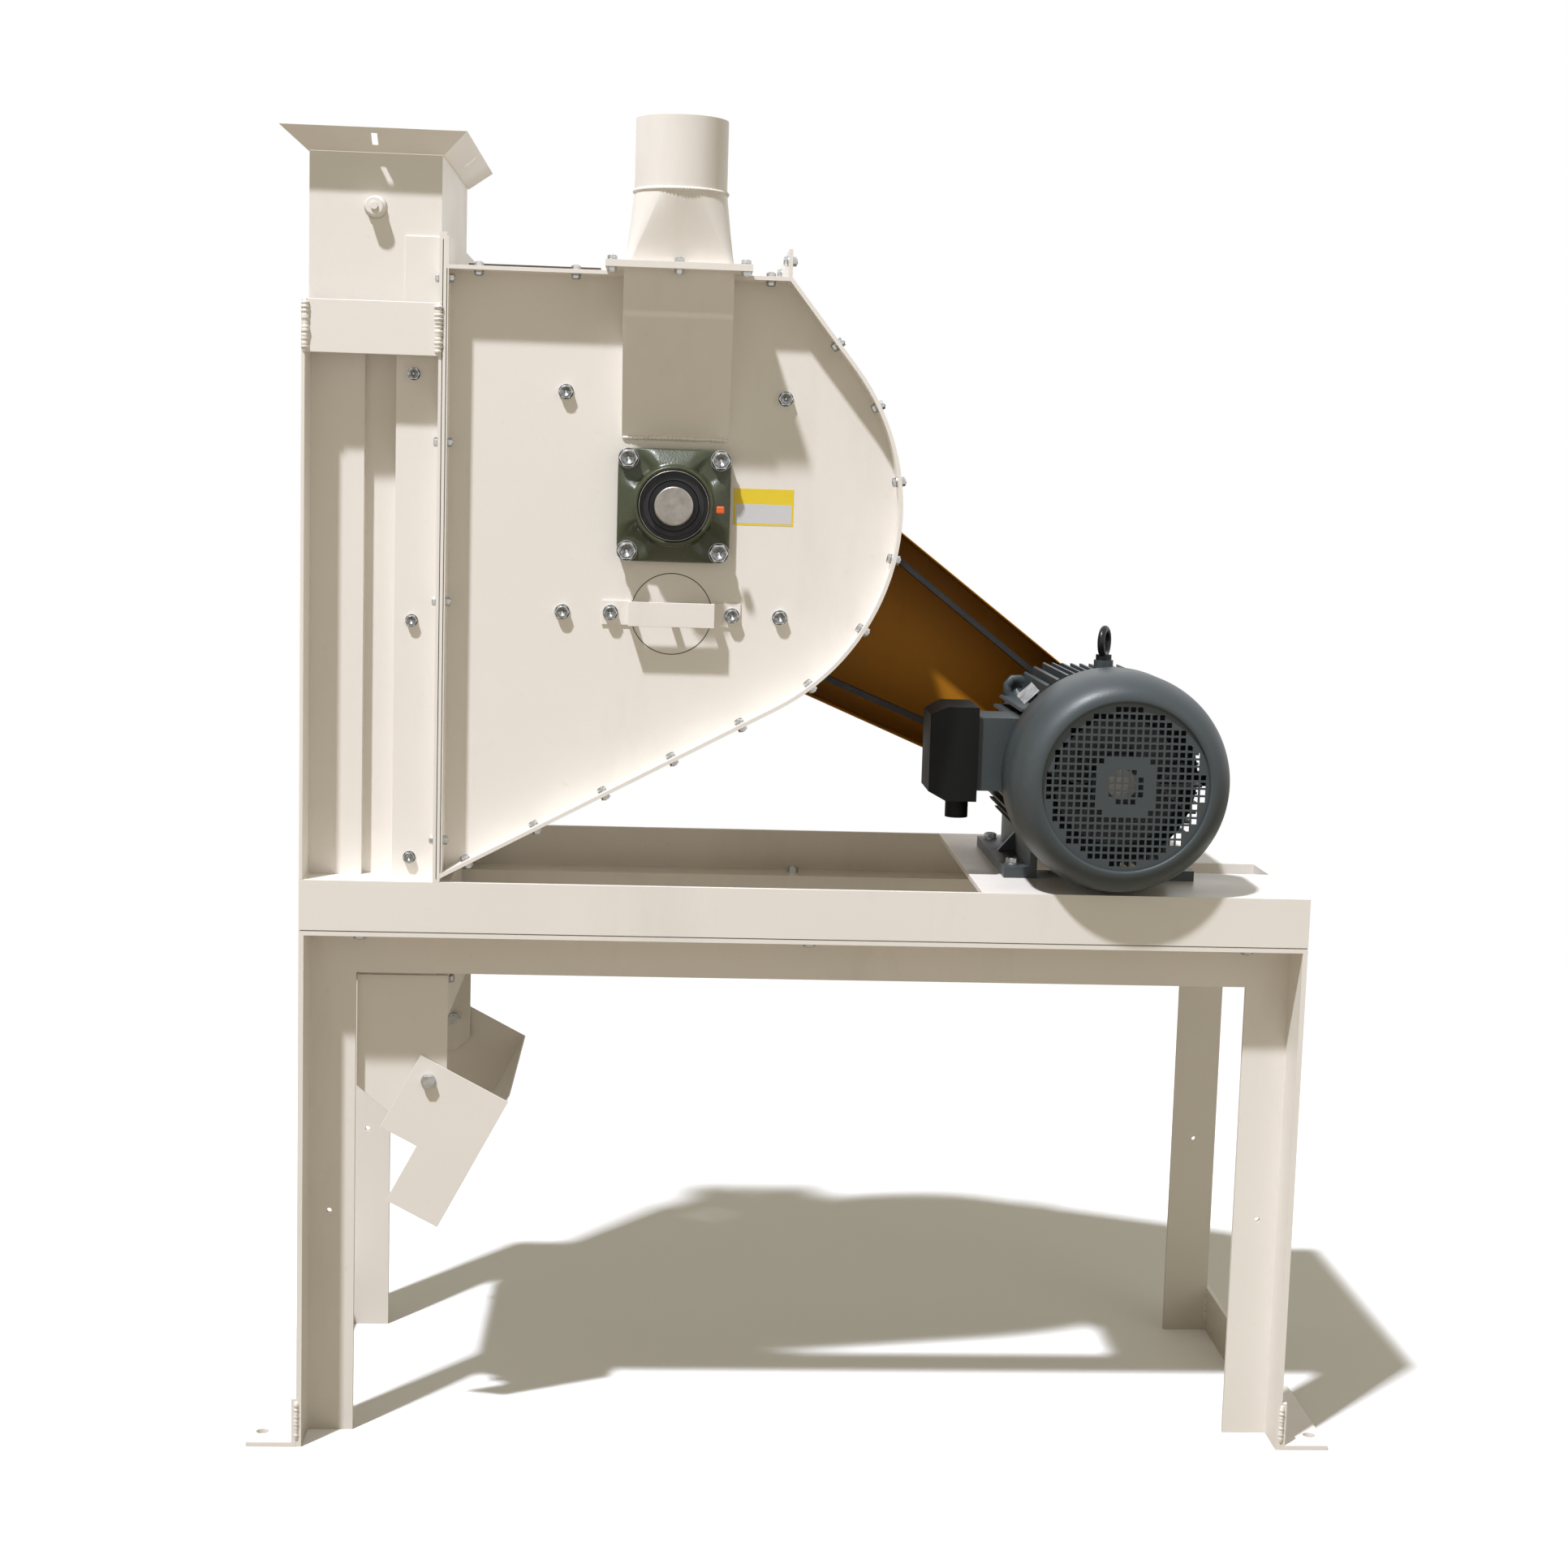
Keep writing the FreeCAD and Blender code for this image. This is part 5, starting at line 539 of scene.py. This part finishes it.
SEAL_FRONT, SEAL_BACK = -0.3155, 0.1755
RIM_FRONT, RIM_BACK = -0.3195, 0.1795
rubber = Finish("black_rubber")
rubber.set(Base_Color=rubber.mix(rubber.noise(30.0), (0.010, 0.010, 0.011), (0.022, 0.022, 0.024)),
           Roughness=rubber.range(rubber.noise(50.0), 0.3, 0.7, 0.42, 0.6))
rubber = rubber.material
seal = [(0.0385, 0.0), (0.0395, -0.0012), (0.0405, 0.0), (0.0430, -0.0016), (0.0455, -0.0004),
        (0.0468, -0.0014), (0.0468, 0.002), (0.0385, 0.002)]
turned("front_seal", seal, (axis_x, SEAL_FRONT, axis_z), rubber)
turned("back_seal", [(r, -y) for r, y in seal], (axis_x, SEAL_BACK, axis_z), rubber)
dress(rubber, "v_belts", edge=0)

rim = [(0.0528, 0.0), (0.0530, -0.0022), (0.0541, -0.0022), (0.0541, 0.0)]
bright = [turned("rim", [(r, side * y) for r, y in rim], (axis_x, face, axis_z), steel, None)
          for face, side in ((RIM_FRONT, 1), (RIM_BACK, -1))]
joined("machined_rims", bright)

# The grease cap on the bearing is soft orange plastic; the sticker beside it is blank vinyl, yellow
# above and white below, with a yellow edge.

orange = paint("orange_plastic", (0.78, 0.13, 0.02), (0.45, 0.10, 0.03), 0.45, 0.0001, 0.2)
CAP_AWAY, CAP_DROP, CAP_HALF = 0.071, 0.004, 0.0055
CAP_FRONT, CAP_DEPTH, CAP_EXTRA = -0.341, 0.012, 0.001
cap_spot = np.array([axis_x + CAP_AWAY, CAP_FRONT, axis_z - CAP_DROP])
slab("grease_cap", cap_spot - (CAP_HALF, 0.0, CAP_HALF),
     cap_spot + (CAP_HALF + CAP_EXTRA, CAP_DEPTH, CAP_HALF), orange, edge=0.0018)
yellow = paint("yellow_vinyl", (0.80, 0.60, 0.03), (0.50, 0.40, 0.10), 0.36, 0.00005, 0.12)
white_vinyl = paint("white_vinyl", (0.62, 0.62, 0.64), (0.50, 0.48, 0.44), 0.36, 0.00005, 0.12)
STICKER_LEFT, STICKER_RIGHT = -0.139, -0.045
STICKER_LOW, STICKER_HIGH = 1.488, 1.545
EDGE, BAND = 0.003, 0.024
VINYL, FIELD = 0.0003, 0.0004
slab("sticker", (STICKER_LEFT, PLATE_FACE - VINYL, STICKER_LOW),
     (STICKER_RIGHT, PLATE_FACE, STICKER_HIGH), yellow, edge=0)
slab("sticker_field", (STICKER_LEFT + EDGE, PLATE_FACE - FIELD, STICKER_LOW + EDGE),
     (STICKER_RIGHT - EDGE, PLATE_FACE, STICKER_HIGH - BAND), white_vinyl, edge=0)

# Thin dark slabs of painted shade in the gaps: between the two rings of the stand, on both sides of the
# wall where the casing meets the column, and behind the front edge of the casing's top.

base_low, base_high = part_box("base_long_rails")
wall_left, wall_right = wall_high.x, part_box("casing_front_plate")[0].x
top_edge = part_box("casing_top_plate")[0]
GAP, GAP_FRONT, RING_BACK, WALL_BACK, RING_INSET = 0.0011, -0.3203, -0.319, -0.318, 0.002
LEFT_GAP, RIGHT_GAP = (0.925, 1.905), (0.935, 1.862)
TOP_START, TOP_END, TOP_FRONT, TOP_BACK = 0.03, -0.352, -0.285, -0.270
TOP_LOW, TOP_HIGH = 0.001, 0.0088
GAPS = [
    ("ring_gap_shade", (base_low.x + RING_INSET, GAP_FRONT, base_low.z - GAP / 2),
     (base_high.x - RING_INSET, RING_BACK, base_low.z + GAP / 2)),
    ("wall_gap_left_shade", (wall_left - GAP, GAP_FRONT, LEFT_GAP[0]), (wall_left, WALL_BACK, LEFT_GAP[1])),
    ("wall_gap_right_shade", (wall_right, GAP_FRONT, RIGHT_GAP[0]),
     (wall_right + GAP, WALL_BACK, RIGHT_GAP[1])),
    ("top_gap_shade", (wall_right + TOP_START, TOP_FRONT, top_edge.z + TOP_LOW),
     (TOP_END, TOP_BACK, top_edge.z + TOP_HIGH)),
]
for name, low, high in GAPS:
    slab(name, low, high, shade, edge=0)

# The drum, the hulling bar and the pulleys: machined cast iron.

iron = Finish("cast_iron")
iron.set(Base_Color=iron.mix(iron.noise(24.0, 5), (0.09, 0.085, 0.08), (0.16, 0.15, 0.14)),
         Metallic=0.8, Roughness=iron.range(iron.noise(60.0, 4), 0.3, 0.7, 0.42, 0.62))
iron.bump(iron.noise(160.0, 3), 0.0003)
iron = iron.material
dress(iron, "hulling_drum", "hulling_bar", "huller_pulley", "motor_pulley", edge=0)

# The belt guard: one deep tray of sheet steel in ochre paint, open towards the machine.

ochre = paint("ochre_paint", (0.45, 0.18, 0.012), (0.16, 0.06, 0.010), 0.44, 0.00012, 0.5, 0.2)
dress(ochre, "belt_guard", edge=0.0006)

# The motor: a finned cast frame with feet, a pressed fan cover with a perforated front, a terminal
# box with a gland on its side, and a lifting eye. It is painted slate green.

slate = paint("slate_paint", (0.044, 0.055, 0.059), (0.10, 0.10, 0.09), 0.42, 0.0003, 0.3)
dress(cream, "motor_mount", edge=0.0012)
dress(slate, "motor_body", edge=0.0008)
dress(slate, "fan_grille", edge=0)
cover_low, cover_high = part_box("fan_cover")
motor_x = (cover_low.x + cover_high.x) / 2
motor_z = (cover_low.z + cover_high.z) / 2
cover_radius = (cover_high.x - cover_low.x) / 2
depth = cover_high.y - cover_low.y
grille_radius, lip, turn_in = 0.133, 0.137, 0.008
shoulder_depth, wall = 0.075, 0.002
bend = np.linspace(0, pi / 2, 17)
outside = [(lip + (cover_radius - lip) * sin(t), shoulder_depth * (1 - cos(t))) for t in bend]
inside = [(lip - wall + (cover_radius - lip) * sin(t), wall + shoulder_depth * (1 - cos(t)))
          for t in bend[::-1]]
profile = ([(grille_radius, turn_in), (grille_radius, 0.0015), (grille_radius + 0.0006, 0.0004)] + outside
           + [(cover_radius, depth * 0.6), (cover_radius, depth), (cover_radius - wall, depth)] + inside
           + [(grille_radius + wall, wall), (grille_radius + wall, turn_in)])
cover = turned("pressed_cover", profile, (motor_x, cover_low.y, motor_z), slate, around=160)
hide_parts("fan_cover")

# On the frame sit a blank nameplate of brushed aluminium, an eight-sided cast lug behind it and the
# four screws that hold the cover.

brushed = Finish("brushed_plate")
scratches = brushed.noise(60.0, 4, 0.6, (1, 12, 1))
brushed.set(Base_Color=brushed.mix(brushed.range(scratches, 0.3, 0.7), (0.12, 0.12, 0.12),
                                   (0.26, 0.26, 0.25)),
            Metallic=0.8, Roughness=brushed.range(scratches, 0.3, 0.7, 0.3, 0.5))
TILT = radians(135)
outward = np.array([cos(TILT), 0, sin(TILT)])
motor_axis = np.array([motor_x, 0, motor_z])


def plate_on(name, middle, sides, halves, material, edge):
    """A flat block about a point: its three half lengths lie along three given directions."""
    signs = np.array([(i, j, k) for k in (-1, 1) for j in (-1, 1) for i in (-1, 1)])
    corners = middle + (signs * halves) @ np.array(sides)
    thing = slab(name, (0, 0, 0), (1, 1, 1), material, edge=edge)
    thing.data.vertices.foreach_set("co", corners.ravel())
    return thing


PLATE_SPOT = np.array([0.3545, -0.158, 1.2255])
facing = np.array([-0.45, -0.80, 0.40])
facing /= np.linalg.norm(facing)
along = np.array([0.74, 0.0, 0.67])
along -= along @ facing * facing
along /= np.linalg.norm(along)
sides = [along, np.cross(facing, along), facing]
NAMEPLATE, SEAT, SEAT_BACK = [0.0165, 0.011, 0.0006], [0.0100, 0.007, 0.0086], 0.009
plate_on("nameplate", PLATE_SPOT, sides, NAMEPLATE, brushed.material, 0.0003)
plate_on("nameplate_seat", PLATE_SPOT - SEAT_BACK * facing, sides, SEAT, slate, 0.001)
LUG = [(0.0001, 0.012), (0.0245, 0.012), (0.0245, 0.002), (0.0225, 0.0), (0.011, 0.0), (0.0095, 0.004),
       (0.0001, 0.004)]
LUG_OUT, LUG_PLACE = 0.159, 0.085
lug_spot = motor_axis + LUG_OUT * outward + (0, LUG_PLACE, 0)
joined("cast_lug", [turned_on("lug", LUG, lug_spot, np.array([0.0, 1.0, 0.0]), slate, 8)])
SCREW = [(0.0001, 0.0), (0.0063, 0.0), (0.0063, 0.0010), (0.0051, 0.0012), (0.0051, 0.0040),
         (0.0041, 0.0048), (0.0001, 0.0048)]
SCREW_SUNK, SCREW_INSET = 0.0055, 0.012
screws = []
for turn in (45, 135, 225, 315):
    way = np.array([cos(radians(turn)), 0, sin(radians(turn))])
    spot = motor_axis + (cover_radius - SCREW_SUNK) * way + (0, cover_high.y - SCREW_INSET, 0)
    screws.append(turned_on("screw", SCREW, spot, way, zinc, 16))
joined("cover_screws", screws)

# Behind the grille the fan is of cast aluminium, coloured far darker than bare metal as painted shade
# for the dark inside the cover; the terminal box and its gland are black.

aluminium = Finish("fan_aluminium_painted_shade")
aluminium.set(Base_Color=aluminium.mix(aluminium.noise(30.0, 4), (0.04, 0.042, 0.045),
                                       (0.10, 0.10, 0.105)),
              Metallic=0.3, Roughness=aluminium.range(aluminium.noise(50.0), 0.3, 0.7, 0.3, 0.45))
dress(aluminium.material, "motor_fan", edge=0)

black = paint("black_paint", (0.0035, 0.004, 0.004), (0.02, 0.02, 0.02), 0.50, 0.0002, 0.2, 0.2)
dress(black, "terminal_box", edge=0.003)

# The floor: pale and wide, it fades into white from NEAR to FAR metres away from the machine, and
# what it throws back on the machine is warmer and darker than what the camera sees.

FLOOR = 14.0
NEAR, FAR = 2.2, 4.6
pale = Finish("pale_floor")
seen = pale.add("ShaderNodeLightPath", output="Is Camera Ray")
pale.set(Base_Color=pale.mix(seen, (0.30, 0.265, 0.205), (0.93, 0.93, 0.93)), Roughness=0.9)
place = pale.add("ShaderNodeTexCoord", output="Object")
away = pale.add("ShaderNodeVectorMath", {"operation": "LENGTH"}, {0: place}, output="Value")
white = pale.add("ShaderNodeEmission", {}, {"Color": (1, 1, 1), "Strength": 1.0})
fade = pale.add("ShaderNodeMixShader", {}, {0: pale.range(away, NEAR, FAR) * seen,
                                            1: Wire(pale, pale.shader.outputs[0]), 2: white})
pale.join(pale.tree.nodes["Material Output"].inputs["Surface"], fade)
corners = [(-FLOOR, -FLOOR, 0), (FLOOR, -FLOOR, 0), (FLOOR, FLOOR, 0), (-FLOOR, FLOOR, 0)]
floor = bpy.data.meshes.new("floor")
floor.from_pydata(corners, [], [(0, 1, 2, 3)])
floor.materials.append(pale.material)
floor = bpy.data.objects.new("floor", floor)
scene.collection.objects.link(floor)

# The surround: a soft warm sky lights the machine, and the camera sees plain white instead.

SKY_COLOUR, SKY_STRENGTH = (1.0, 0.915, 0.69, 1), 0.35
world = bpy.data.worlds.new("studio")
world.use_nodes = True
scene.world = world
sky = world.node_tree
for made in list(sky.nodes):
    sky.nodes.remove(made)
ray = sky.nodes.new("ShaderNodeLightPath")
seen = ray.outputs["Is Camera Ray"]
for kind in ("Is Transmission Ray", "Is Glossy Ray"):
    either = sky.nodes.new("ShaderNodeMath")
    either.operation = "MAXIMUM"
    sky.links.new(seen, either.inputs[0])
    sky.links.new(ray.outputs[kind], either.inputs[1])
    seen = either.outputs[0]
soft = sky.nodes.new("ShaderNodeBackground")
soft.inputs["Color"].default_value = SKY_COLOUR
soft.inputs["Strength"].default_value = SKY_STRENGTH
white = sky.nodes.new("ShaderNodeBackground")
white.inputs["Color"].default_value = (1, 1, 1, 1)
white.inputs["Strength"].default_value = 1.0
blend = sky.nodes.new("ShaderNodeMixShader")
sky.links.new(seen, blend.inputs[0])
sky.links.new(soft.outputs[0], blend.inputs[1])
sky.links.new(white.outputs[0], blend.inputs[2])
result = sky.nodes.new("ShaderNodeOutputWorld")
sky.links.new(blend.outputs[0], result.inputs["Surface"])

# The lamps: a strong one high in front at the left, and a wide weak one from the right.


def lamp(name, place, target, size, power, colour=(1, 1, 1)):
    """A square area lamp that looks at a point."""
    light = bpy.data.lights.new(name, "AREA")
    light.shape = "SQUARE"
    light.size = size
    light.energy = power
    light.color = colour
    thing = bpy.data.objects.new(name, light)
    scene.collection.objects.link(thing)
    place = Vector(place)
    aim = (Vector(target) - place).to_track_quat("-Z", "Y")
    thing.matrix_world = Matrix.Translation(place) @ aim.to_matrix().to_4x4()


MIDDLE = (0, 0, 1.1)
lamp("key", (-7.5, -9.3, 22.9), MIDDLE, 1.0, 8900, (0.91, 0.93, 1))
lamp("fill", (4.0, -4.0, 2.4), MIDDLE, 3.0, 16)

# The camera, as it was fitted to the photograph: its angles in radians, its focal length, picture
# width and optical centre in pixels, and the place where it stands.

SENSOR = 36
YAW, PITCH, ROLL = 0.0705, 0.1202, 0.0318
FOCAL, IMAGE = 2932.9, 1932
CENTRE = (1027.84, 947.59)
STATION = Vector((-0.2326, -4.0176, 1.5603))
forward = Vector((sin(YAW) * cos(PITCH), cos(YAW) * cos(PITCH), -sin(PITCH)))
right = Vector((cos(YAW), -sin(YAW), 0))
up = right.cross(forward)
across = right * cos(ROLL) + up * sin(ROLL)
above = up * cos(ROLL) - right * sin(ROLL)
lens = bpy.data.cameras.new("camera")
lens.sensor_width = SENSOR
lens.lens = SENSOR * FOCAL / IMAGE
lens.shift_x = -(CENTRE[0] / IMAGE - 0.5)
lens.shift_y = CENTRE[1] / IMAGE - 0.5
camera = bpy.data.objects.new("camera", lens)
scene.collection.objects.link(camera)
camera.matrix_world = Matrix((
    (across.x, above.x, -forward.x, STATION.x),
    (across.y, above.y, -forward.y, STATION.y),
    (across.z, above.z, -forward.z, STATION.z),
    (0, 0, 0, 1)))
scene.camera = camera
scene.view_settings.view_transform = "Standard"
